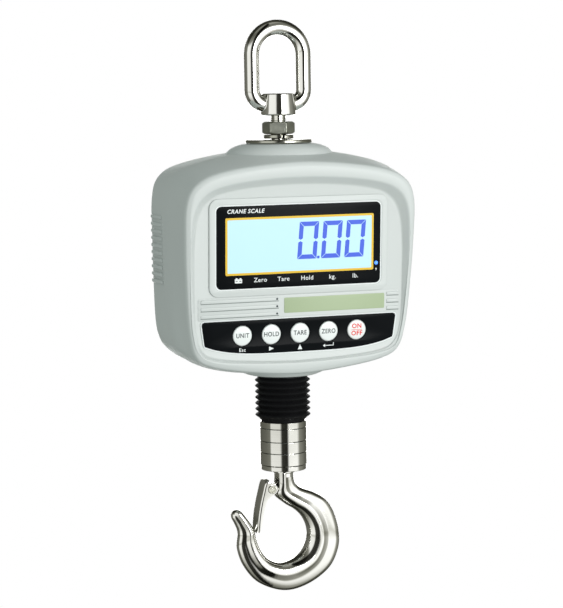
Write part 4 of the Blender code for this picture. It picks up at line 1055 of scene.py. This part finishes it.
@dataclass
class Display:
    """Raised lip, black window, amber frame, lit glass with its digits, legends and lamp."""

    window: tuple[float, float] = (128.6 * MM, 60.8 * MM)
    middle_x: float = -0.8 * MM
    lip: tuple[float, float] = (139.2 * MM, 71.8 * MM)
    front: float = 0.8 * MM
    amber_box: tuple[float, float, float, float] = (-58.0, 58.0, -132.8, -175.0)
    digit_lefts: tuple[float, ...] = (-1.5, 17.2, 35.7)
    digit_size: tuple[float, float] = (15.2, 27.6)
    stroke: float = 3.3
    gap: float = 0.22
    lean: float = 0.075
    digits_z: float = -164.9 * MM
    title_at: tuple[float, float] = (-42.6 * MM, -128.3 * MM)
    legends: tuple[tuple[str, float], ...] = (("Zero", -31), ("Tare", -13), ("Hold", 5.5), ("kg.", 25.5),
                                              ("lb.", 43.7))
    legend_z: float = -179.0 * MM
    lamp_at: tuple[float, float] = (60.3 * MM, -170.0 * MM)

    def build(self) -> None:
        """Make the lip, the window and the lit glass."""
        place = FACE.at(self.middle_x, WINDOW_Z)
        wide, tall = self.window
        border = rounded_box(wide + 1.7 * MM, tall + 1.7 * MM, 4.8 * MM)
        lip = panel([rounded_box(*self.lip, 7 * MM), border], 1.3 * MM, place, 0.42 * MM)
        publish("window_lip", lip, "shell", Body.HOUSING)
        pane = panel([rounded_box(*self.window, 4 * MM)], self.front, place, 0.12 * MM)
        publish("window_pane", pane, "black_gloss", Body.HOUSING, replaces=["display_window"])
        line = panel([border, rounded_box(wide, tall, 4 * MM)], 0.95 * MM, place)
        publish("window_line", line, "print_white", Body.HOUSING)
        left, right, top, bottom = (value * MM for value in self.amber_box)
        middle = FACE.at((left + right) / 2, (top + bottom) / 2, self.front)
        wide, tall = right - left, top - bottom
        opening = rounded_box(wide - 3.2 * MM, tall - 3.2 * MM, 0.6 * MM)
        surround = panel([rounded_box(wide, tall, 1.0 * MM), opening], 0.1 * MM, middle)
        publish("amber_frame", surround, "amber", Body.HOUSING)
        publish("lit_glass", panel([opening], 0.06 * MM, middle), "lcd", Body.HOUSING)

    def nought(self, left: float) -> list[Outline]:
        """The six lit segments of a nought, in mm from the digits' lower left."""
        wide, tall = self.digit_size
        thick, gap, half = self.stroke, self.gap, self.digit_size[1] / 2
        foot = [(gap, 0), (wide - gap, 0), (wide - thick - gap, thick), (thick + gap, thick)]
        post = [(0, gap), (thick, thick + gap), (thick, half - 1.5), (thick / 2, half - 0.45),
                (0, half - 1.5)]
        shapes = []
        for shape in (foot, post):
            for flip_x in ((False,) if shape is foot else (False, True)):
                for flip_y in (False, True):
                    shapes.append([Vector((left + (wide - x if flip_x else x), tall - y if flip_y else y))
                                   for x, y in shape])
        return shapes

    def dress(self) -> None:
        """Print the digits and the legends, and set the lamp."""
        shapes = [shape for left in self.digit_lefts for shape in self.nought(left)]
        shapes.append([p + Vector((15.1, 1.0)) for p in rounded_box(2.0, 2.0, 0.3, 2)])
        middle = self.digit_size[1] / 2
        slanted = [[Vector(((p.x + (p.y - middle) * self.lean) * MM, p.y * MM)) for p in shape]
                   for shape in shapes]
        origin = FACE.at(0, self.digits_z, self.front + 0.06 * MM)
        publish("digits", panel(slanted, 0.04 * MM, origin), "segment", Body.HOUSING)
        words = [lettering("CRANE SCALE", 3.0 * MM, FACE.at(*self.title_at, self.front), 0.1 * MM, 0.2)]
        for text, x in self.legends:
            words.append(lettering(text, 3.3 * MM, FACE.at(x * MM, self.legend_z, self.front), 0.04 * MM))
        words += [*self.cell_mark(), self.bolt_mark()]
        publish("window_legends", gather(words), "print_white", Body.HOUSING)
        profile = ((0, 0.7 * MM), (0.8 * MM, 0.55 * MM), (1.4 * MM, 0.1 * MM), (1.5 * MM, -0.3 * MM),
                   (0, -0.3 * MM))
        lamp = spun(profile, steps=32)
        bmesh.ops.transform(lamp, matrix=FACE.at(*self.lamp_at, self.front), verts=lamp.verts)
        publish("lamp_lens", lamp, "blue_lamp", Body.HOUSING, replaces=["status_led"])

    def cell_mark(self) -> list[bmesh.types.BMesh]:
        """The battery sign: a case with two dashes left open, then its two terminals."""
        place = FACE.at(-48 * MM, self.legend_z - 0.2 * MM, self.front)
        shapes = [rounded_box(5.6 * MM, 3.0 * MM, 0.3 * MM, 3)]
        terminals = []
        for side in (-1, 1):
            dash = rounded_box(1.5 * MM, 0.5 * MM, 0.1 * MM, 2)
            shapes.append([p + Vector((side * 1.4 * MM, 0)) for p in dash])
            terminal = rounded_box(1.4 * MM, 0.9 * MM, 0.2 * MM, 2)
            terminals.append(panel([terminal], 0.05 * MM, place @ shift(side * 1.5 * MM, 1.8 * MM, 0)))
        return [panel(shapes, 0.05 * MM, place), *terminals]

    def bolt_mark(self) -> bmesh.types.BMesh:
        """The charging sign below the lamp."""
        corners = ((0.2, 1.4), (-0.8, -0.2), (0, -0.2), (-0.3, -1.5), (0.8, 0.3), (0.1, 0.3))
        bolt = [Vector((x * MM, y * MM)) for x, y in corners]
        return panel([bolt], 0.05 * MM, FACE.at(self.lamp_at[0], self.lamp_at[1] - 4.6 * MM, self.front))


@dataclass
class StripBand:
    """The band between the window and the keys: grooved strips, a blank label and short stubs."""

    levels: tuple[float, ...] = (-193.6 * MM, -199.0 * MM, -204.4 * MM)
    columns: tuple[float, float] = (-46.6 * MM, 74.0 * MM)
    widths: tuple[float, float] = (60.5 * MM, 10.0 * MM)
    band: tuple[float, float] = (157.5 * MM, 16.6 * MM)
    band_z: float = -199.2 * MM
    label: tuple[float, float] = (79.6 * MM, 11.3 * MM)
    label_at: tuple[float, float] = (27.5 * MM, -198.7 * MM)
    dot_x: float = -18.0 * MM

    def rows(self, outlines: Sequence[Outline], thickness: float, drop: float = 0.0,
             rounding: float = 0.0) -> list[bmesh.types.BMesh]:
        """A long strip and a short stub at every level.

        Args:
            outlines: the strip's outline, then the stub's.
            thickness: how far they stand up.
            drop: how far they lie below their level.
            rounding: radius that breaks their edges.

        Returns:
            Their meshes.
        """
        return [panel([outline], thickness, FACE.at(x, z - drop), rounding)
                for z in self.levels for x, outline in zip(self.columns, outlines)]

    def build(self) -> None:
        """Make the band, its strips and its stubs."""
        band = panel([rounded_box(*self.band, 1.5 * MM, 6)], 0.3 * MM, FACE.at(0, self.band_z), 0.12 * MM)
        heights = (2.6 * MM, 2.5 * MM)
        outlines = [rounded_box(*size, 1.2 * MM, 6) for size in zip(self.widths, heights)]
        strips = self.rows(outlines, 0.9 * MM, rounding=0.4 * MM)
        publish("strip_bars", gather([band, *strips]), "shell", Body.HOUSING)

    def dress(self) -> None:
        """Lay the label down, ink the dark ends of the strips, and paint grey shade lines below them."""
        label = panel([rounded_box(*self.label, 0.8 * MM, 6)], 0.6 * MM, FACE.at(*self.label_at), 0.1 * MM)
        publish("blank_label", label, "label", Body.HOUSING)
        dots = [panel([rounded_box(1.5 * MM, 1.5 * MM, 0.7 * MM, 6)], 0.08 * MM,
                      FACE.at(self.dot_x, z, 0.9 * MM)) for z in self.levels]
        publish("strip_dots", gather(dots), "print_dark", Body.HOUSING)
        # Painted shade: thin grey lines just below each strip and stub.
        shade_outlines = [rounded_box(width, 0.5 * MM, 0.2 * MM, 4) for width in self.widths]
        lines = self.rows(shade_outlines, 0.36 * MM, 1.55 * MM)
        publish("strip_shadow_lines", gather(lines), "painted_shade_grey", Body.HOUSING)


@dataclass
class Keypad:
    """Black overlay with a white border, five printed keys that travel, and their legends."""

    names: tuple[str, ...] = ("key_unit", "key_hold", "key_tare", "key_zero", "key_power")
    words: tuple[str, ...] = ("UNIT", "HOLD", "TARE", "ZERO", "")
    pitch: float = 22.5 * MM
    key_r: float = 7.25 * MM
    top: float = 1.4 * MM
    legend_z: float = -230.2 * MM

    def edge(self, grow: float) -> Outline:
        """The overlay's outline, grown by a margin: flat top, leaning ends and a bowed foot."""
        half, high, low = 76.3 * MM, 11.3 * MM, -14 * MM
        corner = (74 * MM, -7.4 * MM)
        right = [Vector((half - 2.2 * MM, high)), Vector((half - 0.6 * MM, high - 0.6 * MM)),
                 Vector((half, high - 2.2 * MM))]
        right += [Vector((corner[0] + 0.3 * MM, corner[1] + 2 * MM)),
                  Vector((corner[0] - 0.3 * MM, corner[1] + 0.5 * MM))]
        steps = 24
        for i in range(1, steps):
            share = 1 - 2 * i / steps
            bow = corner[1] + (low - corner[1]) * (1 - share ** 4)
            right.append(Vector((corner[0] * share * 0.985, bow)))
        left = [Vector((-p.x, p.y)) for p in reversed(right[:5])]
        return inset(right + left, -grow)

    def places(self) -> list[float]:
        """The keys' x positions."""
        return [(i - 2) * self.pitch for i in range(5)]

    def build(self) -> None:
        """Make the border, the overlay and the key caps."""
        border = panel([self.edge(0.8 * MM), self.edge(0.02 * MM)], 0.8 * MM, FACE.at(0, KEY_Z))
        publish("keypad_border", border, "print_white", Body.HOUSING)
        across = 2 * self.key_r + 0.7 * MM
        hole = rounded_box(across, across, self.key_r + 0.349 * MM, 14)
        holes = [[p + Vector((x, 0)) for p in hole] for x in self.places()]
        overlay = panel([self.edge(0), *holes], 1.0 * MM, FACE.at(0, KEY_Z), 0.15 * MM)
        publish("overlay", overlay, "black_gloss", Body.HOUSING, replaces=["keypad_overlay"])
        radius, top = self.key_r, self.top
        profile = ((0, top), (radius - 0.9 * MM, top), (radius - 0.45 * MM, top - 0.08 * MM),
                   (radius - 0.12 * MM, top - 0.3 * MM), (radius, top - 0.6 * MM), (radius, 0.55 * MM),
                   (0, 0.55 * MM))
        for name, x in zip(self.names, self.places()):
            cap = spun(profile, steps=80)
            bmesh.ops.transform(cap, matrix=FACE.at(x, KEY_Z), verts=cap.verts)
            finish = "key_red" if name == "key_power" else "key_white"
            publish(f"{name}_cap", cap, finish, name, replaces=[name])

    def dress(self) -> None:
        """Print the keys and the legends below them."""
        for name, text, x in zip(self.names, self.words, self.places()):
            if text:
                narrow = FACE.at(x, KEY_Z, self.top) @ Matrix.Diagonal((0.86, 1, 1, 1))
                print_ = lettering(text, 3.4 * MM, narrow, 0.07 * MM)
                publish(f"{name}_print", print_, "print_dark", name)
        x = self.places()[-1]
        parts = [lettering("ON", 3.4 * MM, FACE.at(x, KEY_Z + 2.7 * MM, self.top), 0.14 * MM),
                 lettering("OFF", 3.4 * MM, FACE.at(x, KEY_Z - 2.7 * MM, self.top), 0.14 * MM),
                 panel([rounded_box(8.6 * MM, 0.35 * MM, 0.15 * MM, 2)], 0.05 * MM,
                       FACE.at(x, KEY_Z, self.top))]
        publish("key_power_print", gather(parts), "print_red", "key_power")
        right = [Vector((2.0 * MM, 0)), Vector((-1.8 * MM, -1.6 * MM)), Vector((-1.8 * MM, 1.6 * MM))]
        up = [Vector((-p.y * 1.1, p.x)) for p in right]
        corners = ((4.2, 2.0), (3.7, 2.0), (3.7, 0.2), (-2.6, 0.2), (-2.6, 1.2), (-4.4, -0.05), (-2.6, -1.3),
                   (-2.6, -0.3), (4.2, -0.3))
        back = [Vector((x * MM, y * MM)) for x, y in corners]
        places = [FACE.at(x, self.legend_z, 1.0 * MM) for x in self.places()]
        marks = [lettering("Esc", 2.7 * MM, places[0], 0.04 * MM)]
        marks += [panel([shape], 0.05 * MM, place) for shape, place in zip((right, up, back), places[1:])]
        publish("keypad_legends", gather(marks), "print_white", Body.HOUSING)


@dataclass
class Bellows:
    """Pleated rubber boot that bends between the housing and the swivel."""

    peak_r: float = 21.0 * MM
    valley_r: float = 18.2 * MM
    cuff: float = 2.4 * MM
    folds: int = 7

    def build(self) -> None:
        """Make the pleats with round peaks and tight valleys."""
        pitch = (BELLOWS_H - 2 * self.cuff) / self.folds
        outer = [(self.valley_r + 1.6 * MM, 0), (self.valley_r + 1.6 * MM, -0.6 * self.cuff),
                 (self.valley_r + 0.4 * MM, -0.9 * self.cuff)]
        samples = 10
        for i in range(self.folds * samples + 1):
            turn = math.pi * i / samples
            wave = 0.65 * abs(math.sin(turn)) + 0.35 * (1 - abs(math.cos(turn)))
            outer.append((self.valley_r + (self.peak_r - self.valley_r) * wave,
                          -self.cuff - pitch * i / samples))
        outer += [(SWIVEL_R - 0.3 * MM, -BELLOWS_H + 0.6 * self.cuff),
                  (SWIVEL_R - 1.0 * MM, -BELLOWS_H + 0.3 * self.cuff),
                  (SWIVEL_R - 1.2 * MM, -BELLOWS_H)]
        inner = [(self.valley_r - 1.4 * MM, 0.0), (self.valley_r - 1.4 * MM, -BELLOWS_H + self.cuff),
                 (SWIVEL_R - 3.0 * MM, -BELLOWS_H)]
        self.mesh = spun(outer + inner[::-1], BELLOWS_TOP, 96)

    def dress(self) -> None:
        """Show it in rubber, riding on no body."""
        piece = publish("boot", self.mesh, "rubber", None, replaces=["bellows"], sharp=50)
        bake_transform(piece)


@dataclass
class Swivel:
    """The stack of turned rings between the boot and the hook."""

    rings: tuple = (
        ("lock_ring", "swivel_lock_ring", -290.6, 4.7, 17.75, 6.6, 0.22),
        ("bearing_head", "swivel_head", -295.6, 9.6, 17.75, 11.0, 0.22),
        ("bearing_sleeve", "swivel_sleeve", -305.5, 8.5, 17.75, 13.5, 0.22),
        ("bearing_seat", "swivel_seat", -314.3, 9.3, 17.75, 8.0, 0.25),
        ("dust_cap", "swivel_dust_cap", -323.9, 3.8, 17.25, 8.0, 0.35),
    )
    pieces: list = field(default_factory=list)

    def build(self) -> None:
        """Turn each ring with its edges broken, with a black sleeve behind them as painted shade in the
        joints between.
        """
        for name, node, top, height, outer, inner, chamfer in self.rings:
            mesh = washer(outer * MM, inner * MM, height * MM, chamfer * MM, top * MM)
            piece = publish(name, mesh, "turned_steel", Body.SWIVEL, replaces=[node])
            self.pieces.append(piece)
        # Painted shade: a black rubber sleeve inside the rings that shows only in the thin gaps between
        # them.
        joint = spun(((17.0 * MM, -291.0 * MM), (17.0 * MM, -327.0 * MM), (14.6 * MM, -327.0 * MM),
                      (14.6 * MM, -291.0 * MM)))
        publish("joint_shadow", joint, "rubber", Body.SWIVEL)

    def dress(self) -> None:
        """Round the chamfers a little."""
        for piece in self.pieces:
            soften(piece, 0.07 * MM)


@dataclass
class Hook:
    """Forged hook with a turned neck and the lug that carries its latch."""

    sections: tuple = (
        (-7.1, -2, 7.1, -2, 14.2), (-7.3, -10.3, 7.7, -10.3, 14.2), (-8.2, -19.3, 12.6, -15.2, 14.2),
        (0.5, -27.3, 23.2, -19.6, 14.2), (8.3, -32.4, 33.3, -26.3, 14.2), (14.4, -39, 39.6, -36.1, 14.4),
        (18.1, -48.3, 43.7, -51.3, 15), (17.2, -58.3, 43, -65.1, 15.4), (12, -66.7, 35.4, -79.7, 15.6),
        (3.5, -71.4, 18, -90.9, 15.6), (-5.5, -72.2, -1.5, -94.3, 15.2), (-14.7, -68.1, -21.6, -86.7, 14.4),
        (-20.3, -61.1, -33.4, -73.3, 13.4), (-23.7, -52.1, -38.6, -58.9, 12.4),
        (-25.2, -45.4, -37.8, -47.2, 11.8),
        (-30.0, -37.0, -39.7, -40.9, 11.0), (-34.8, -30.6, -42.2, -36.0, 9.8),
    )
    bead: float = 1.12
    web: float = 0.80
    softness: float = 0.78
    sides: int = 48

    def ring(self, section: Sequence[float], scale: float = 1.0, push: Vector = Vector()) -> list[Vector]:
        """The hook's soft-cornered outline at a section.

        Args:
            section: load side (x, z), outer side (x, z) and thickness.
            scale: share of its full size, about its middle.
            push: how far it is moved.

        Returns:
            The points round it.
        """
        load_x, load_z, outer_x, outer_z, thickness = section
        points = []
        for k in range(self.sides):
            angle = math.tau * k / self.sides
            across = math.copysign(abs(math.cos(angle)) ** self.softness, math.cos(angle))
            side = math.copysign(abs(math.sin(angle)) ** self.softness, math.sin(angle))
            x = (load_x + outer_x) / 2 + scale * across * (outer_x - load_x) / 2
            z = (load_z + outer_z) / 2 + scale * across * (outer_z - load_z) / 2
            blend = min(max((across + 0.3) / 0.55, 0.0), 1.0)
            blend = blend * blend * (3 - 2 * blend)
            y = scale * side * thickness / 2 * (self.bead + (self.web - self.bead) * blend)
            points.append(Vector((x * MM, y * MM, z * MM)) + push)
        return points

    def build(self) -> None:
        """Forge the hook through its sections, round its tip and turn its neck."""
        packed = [Vector((a, b, 0)) for a, b, *_ in self.sections]
        outer = [Vector((c, d, 0)) for _, _, c, d, _ in self.sections]
        thick = [Vector((t, 0, 0)) for *_, t in self.sections]
        steps = 6
        runs = zip(self.even(packed, steps), self.even(outer, steps), self.even(thick, steps))
        sections = [(a.x, a.y, b.x, b.y, t.x) for a, b, t in runs]
        rings = [self.ring(section) for section in sections]
        last = sections[-1]
        earlier = sections[-4]
        along = Vector((last[0] + last[2] - earlier[0] - earlier[2], 0,
                        last[1] + last[3] - earlier[1] - earlier[3])).normalized()
        for angle in (20, 40, 58, 74, 85):
            turn = math.radians(angle)
            rings.append(self.ring(last, math.cos(turn), along * (4.6 * MM * math.sin(turn))))
        forging = extruded_rings(rings)
        bmesh.ops.transform(forging, matrix=shift(0, 0, HOOK_TOP), verts=forging.verts)
        lug = rod(4.2 * MM, 6.2 * MM, along_y(*LATCH_PIN), 48)
        web = block((8.0 * MM, 6.0 * MM, 7.8 * MM), shift(LATCH_PIN.x + 4 * MM, 0, LATCH_PIN.z))
        piece = publish("hook_forging", gather([forging, lug, web]), "polished_steel", Body.HOOK,
                        replaces=["hook"])
        melt(piece, 0.5 * MM, 5)
        profile = ((0, 26), (6, 26), (6, 17), (7.1, 17), (7.1, -0.8), (7.8, -0.8), (8.1, -1.1), (8.1, -2.5),
                   (7.8, -2.8), (7.25, -2.9), (7.15, -6), (0, -6))
        neck = spun([(r * MM, h * MM) for r, h in profile], HOOK_TOP)
        self.neck = publish("hook_neck", neck, "turned_steel", Body.HOOK)

    @staticmethod
    def even(points: Sequence[Vector], steps: int) -> list[Vector]:
        """Sample a uniform smooth curve through points."""
        last = len(points) - 1
        out = []
        for i in range(last):
            a, b, c, d = (points[min(max(i + k - 1, 0), last)] for k in range(4))
            for s in range(steps):
                t = s / steps
                out.append(0.5 * (2 * b + (c - a) * t + (2 * a - 5 * b + 4 * c - d) * t * t
                                  + (3 * b - a - 3 * c + d) * t ** 3))
        return out + [points[-1]]

    def dress(self) -> None:
        """Round the neck collar."""
        soften(self.neck, 0.2 * MM)


@dataclass
class Latch:
    """Pressed channel that closes the hook's mouth, its riveted pin and its rivet heads."""

    stations: tuple = (
        (-2.4, 7.3, -0.6, 4.3), (-4.6, 6.2, 1.6, 4.0), (-6.2, 3.0, 4.2, 1.2), (-7.1, -0.6, 4.1, -1.6),
        (-8.0, -4, 1.4, -4.2), (-8.9, -7.6, -3.4, -7.4), (-9.8, -11.5, -5.5, -12), (-11.3, -20, -7.6, -20.4),
        (-12.0, -27, -8.8, -27.2), (-12.4, -32.8, -10.6, -32.4),
    )
    width: float = 14.0 * MM
    sheet: float = 1.2 * MM
    corner: float = 2.0 * MM

    def channel(self, web: Vector, back: Vector) -> list[Vector]:
        """The channel's section between a point on the web and a point on the cheeks' free edge."""
        deep = (back - web).length
        into = (back - web) / deep
        half, sheet = self.width / 2, self.sheet
        outer = min(self.corner, 0.8 * deep)
        inner = max(outer - sheet, 0.2 * MM)
        points = [(deep, half)]
        for i in range(7):
            angle = math.radians(90 + 15 * i)
            points.append((outer + outer * math.cos(angle), half - outer + outer * math.sin(angle)))
        points += [(u, -y) for u, y in reversed(points)]
        hollow = [(deep, -half + sheet)]
        for i in range(7):
            angle = math.radians(-90 - 15 * i)
            u = min(sheet + inner + inner * math.cos(angle), deep)
            hollow.append((u, -(half - sheet - inner) + inner * math.sin(angle)))
        hollow += [(u, -y) for u, y in reversed(hollow)]
        return [LATCH_PIN + web + into * u + Vector((0, y, 0)) for u, y in points + hollow]

    def build(self) -> None:
        """Press the channel and turn the pin."""
        web = smooth_run([Vector((a * MM, 0, b * MM)) for a, b, _, _ in self.stations], 5)
        back = smooth_run([Vector((c * MM, 0, d * MM)) for _, _, c, d in self.stations], 5)
        rings = [self.channel(a, b) for a, b in zip(web, back)]
        self.cheeks = publish("latch_channel", extruded_rings(rings), "polished_steel", Body.LATCH,
                              replaces=["latch"], sharp=40)
        half = 8.0
        side = ((3.3, half - 0.95), (3.3, half - 0.3), (3.0, half), (2.4, half), (2.2, half - 0.4),
                (1.8, half - 0.4), (1.5, half - 0.05), (0, half))
        profile = [(0, -half)] + [(r, -h) for r, h in reversed(side[:-1])]
        profile += [(2.0, 0.9 - half), (2.0, half - 0.9), *side]
        pin = spun([(r * MM, h * MM) for r, h in profile], steps=48)
        bmesh.ops.transform(pin, matrix=along_y(*LATCH_PIN), verts=pin.verts)
        publish("latch_rivet", pin, "dull_steel", Body.HOOK, replaces=["latch_pin"])

    def dress(self) -> None:
        """Round the pressed edges."""
        soften(self.cheeks, 0.22 * MM, 2, 45)


@dataclass
class Internals:
    """Every CAD part that keeps its own mesh: it gets a finish from its material slot."""

    spots: dict

    def dress(self) -> None:
        """Give each shown CAD part its finish."""
        slots = {part["node"]: part["material_slot"] for part in self.spots["record"]["subparts"]}
        for name, node in self.spots["nodes"].items():
            if node.hide_render:
                continue
            node.data.materials.clear()
            node.data.materials.append(Finishes.get(slots[name]))
            LOG.info("%s keeps its CAD mesh in %s", name, slots[name])


@dataclass
class Studio:
    """Camera, soft lamps, and pale surroundings with dark flags for the chrome.

    around and upward are the flags' (place, brightness) stops, round the horizon and from below to above.
    """

    yaw: float = math.radians(-19.82)
    pitch: float = math.radians(5.68)
    roll: float = math.radians(-0.9)
    distance: float = 1.6
    aim: Vector = field(default_factory=lambda: Vector((0.22 * MM, 0.0, -201.9 * MM)))
    lens: float = 125.3
    around: tuple[tuple[float, float], ...] = (
        (0.0, 0.20), (0.10, 0.12), (0.24, 0.16), (0.31, 0.22), (0.325, 0.95), (0.455, 0.9), (0.48, 0.04),
        (0.555, 0.02), (0.58, 1.05), (0.70, 1.15), (0.74, 0.30), (0.86, 0.12), (1.0, 0.20),
    )
    upward: tuple[tuple[float, float], ...] = (
        (0.0, 0.10), (0.14, 0.3), (0.30, 0.9), (0.40, 1.0), (0.43, 0.55), (0.46, 0.9), (0.66, 1.0),
        (0.74, 0.25), (0.86, 0.10), (1.0, 0.30),
    )

    def build(self) -> None:
        """Set the camera and the lamps."""
        toward = Vector((math.sin(self.yaw) * math.cos(self.pitch),
                         -math.cos(self.yaw) * math.cos(self.pitch),
                         math.sin(self.pitch)))
        data = bpy.data.cameras.new("camera")
        data.lens = self.lens
        camera = bpy.data.objects.new("camera", data)
        bpy.context.scene.collection.objects.link(camera)
        turn = toward.to_track_quat("Z", "Y").to_matrix().to_4x4() @ Matrix.Rotation(self.roll, 4, "Z")
        camera.matrix_world = Matrix.Translation(self.aim + toward * self.distance) @ turn
        bpy.context.scene.camera = camera
        self.lamp("key", (0.55, -1.5, -0.05), (0.8, 0.8), 15.0)
        self.lamp("rear", (0.5, 1.4, -0.25), (0.9, 0.9), 8.0)

    def lamp(self, name: str, where: tuple[float, float, float], size: tuple[float, float],
             power: float) -> None:
        """Hang a soft lamp that faces the scale."""
        data = bpy.data.lights.new(name, "AREA")
        data.shape = "RECTANGLE"
        data.size, data.size_y = size
        data.energy = power
        lamp = bpy.data.objects.new(name, data)
        bpy.context.scene.collection.objects.link(lamp)
        away = Vector(where) - self.aim
        lamp.matrix_world = Matrix.Translation(where) @ away.to_track_quat("Z", "Y").to_matrix().to_4x4()

    def dress(self) -> None:
        """Paint the surroundings: white to the camera, dim for shading, banded for mirrors."""
        world = bpy.data.worlds.new("studio")
        world.use_nodes = True
        bpy.context.scene.world = world
        self.nodes, self.links = world.node_tree.nodes, world.node_tree.links
        where = self.node("ShaderNodeTexCoord", {}, {}).outputs["Generated"]
        across = (math.cos(self.yaw), math.sin(self.yaw), 0.0)
        ahead = (math.sin(self.yaw), -math.cos(self.yaw), 0.0)
        parts = []
        for axis in (across, ahead):
            dot = self.node("ShaderNodeVectorMath", {"operation": "DOT_PRODUCT"}, {0: where, 1: axis})
            parts.append(dot.outputs["Value"])
        angle = self.node("ShaderNodeMath", {"operation": "ARCTAN2"}, {0: parts[0], 1: parts[1]}).outputs[0]
        round_ = {0: angle, 1: 1 / math.tau, 2: 0.5}
        azimuth = self.node("ShaderNodeMath", {"operation": "MULTIPLY_ADD"}, round_).outputs[0]
        split = self.node("ShaderNodeSeparateXYZ", {}, {0: where})
        rise = {0: split.outputs["Z"], 1: 0.5, 2: 0.5}
        height = self.node("ShaderNodeMath", {"operation": "MULTIPLY_ADD"}, rise).outputs[0]
        side = self.ramp(azimuth, self.around)
        up = self.ramp(height, self.upward)
        bands = self.node("ShaderNodeMix", {"data_type": "RGBA", "blend_type": "MULTIPLY"},
                          {0: 1.0, 6: side, 7: up})
        mirror = self.node("ShaderNodeBackground", {}, {"Color": bands.outputs[2], "Strength": 1.15})
        shade = self.node("ShaderNodeBackground", {}, {"Color": (0.90, 1.0, 0.965, 1.0), "Strength": 0.54})
        white = self.node("ShaderNodeBackground", {}, {"Color": (1.0, 1.0, 1.0, 1.0), "Strength": 1.0})
        path = self.node("ShaderNodeLightPath", {}, {})
        glossy = {0: path.outputs["Is Glossy Ray"], 1: shade.outputs[0], 2: mirror.outputs[0]}
        lit = self.node("ShaderNodeMixShader", {}, glossy)
        seen = {0: path.outputs["Is Camera Ray"], 1: lit.outputs[0], 2: white.outputs[0]}
        final = self.node("ShaderNodeMixShader", {}, seen)
        self.links.new(final.outputs[0], self.nodes["World Output"].inputs["Surface"])
        bpy.context.scene.view_settings.view_transform = "Standard"

    def node(self, kind: str, settings: dict, inputs: dict) -> bpy.types.Node:
        """Add a node to the surroundings.

        Args:
            kind: the node's type.
            settings: properties to set before its sockets.
            inputs: sockets by name or number, with a value or the socket to link.

        Returns:
            The node.
        """
        made = self.nodes.new(kind)
        for key, value in settings.items():
            setattr(made, key, value)
        for key, value in inputs.items():
            if isinstance(value, bpy.types.NodeSocket):
                self.links.new(value, made.inputs[key])
            else:
                made.inputs[key].default_value = value
        return made

    def ramp(self, share: bpy.types.NodeSocket,
             stops: Sequence[tuple[float, float]]) -> bpy.types.NodeSocket:
        """A ramp through (position, brightness) stops, olive where it is dark."""
        made = self.node("ShaderNodeValToRGB", {}, {0: share})
        while len(made.color_ramp.elements) < len(stops):
            made.color_ramp.elements.new(0.5)
        for element, (place, level) in zip(made.color_ramp.elements, stops):
            element.position = place
            element.color = (level, level, level * min(1.0, 0.84 + 0.16 * level), 1.0)
        return made.outputs[0]


def main() -> None:
    """Build and dress every sub-assembly, then the studio."""
    logging.basicConfig(level=logging.INFO, format="%(message)s")
    for assembly in (SuspensionEye(), Housing(), Display(), StripBand(), Keypad(), Bellows(), Swivel(),
                     Hook(), Latch()):
        assembly.build()
        assembly.dress()
    Internals(frame).dress()
    studio = Studio()
    studio.build()
    studio.dress()


if __name__ == "__main__":
    main()
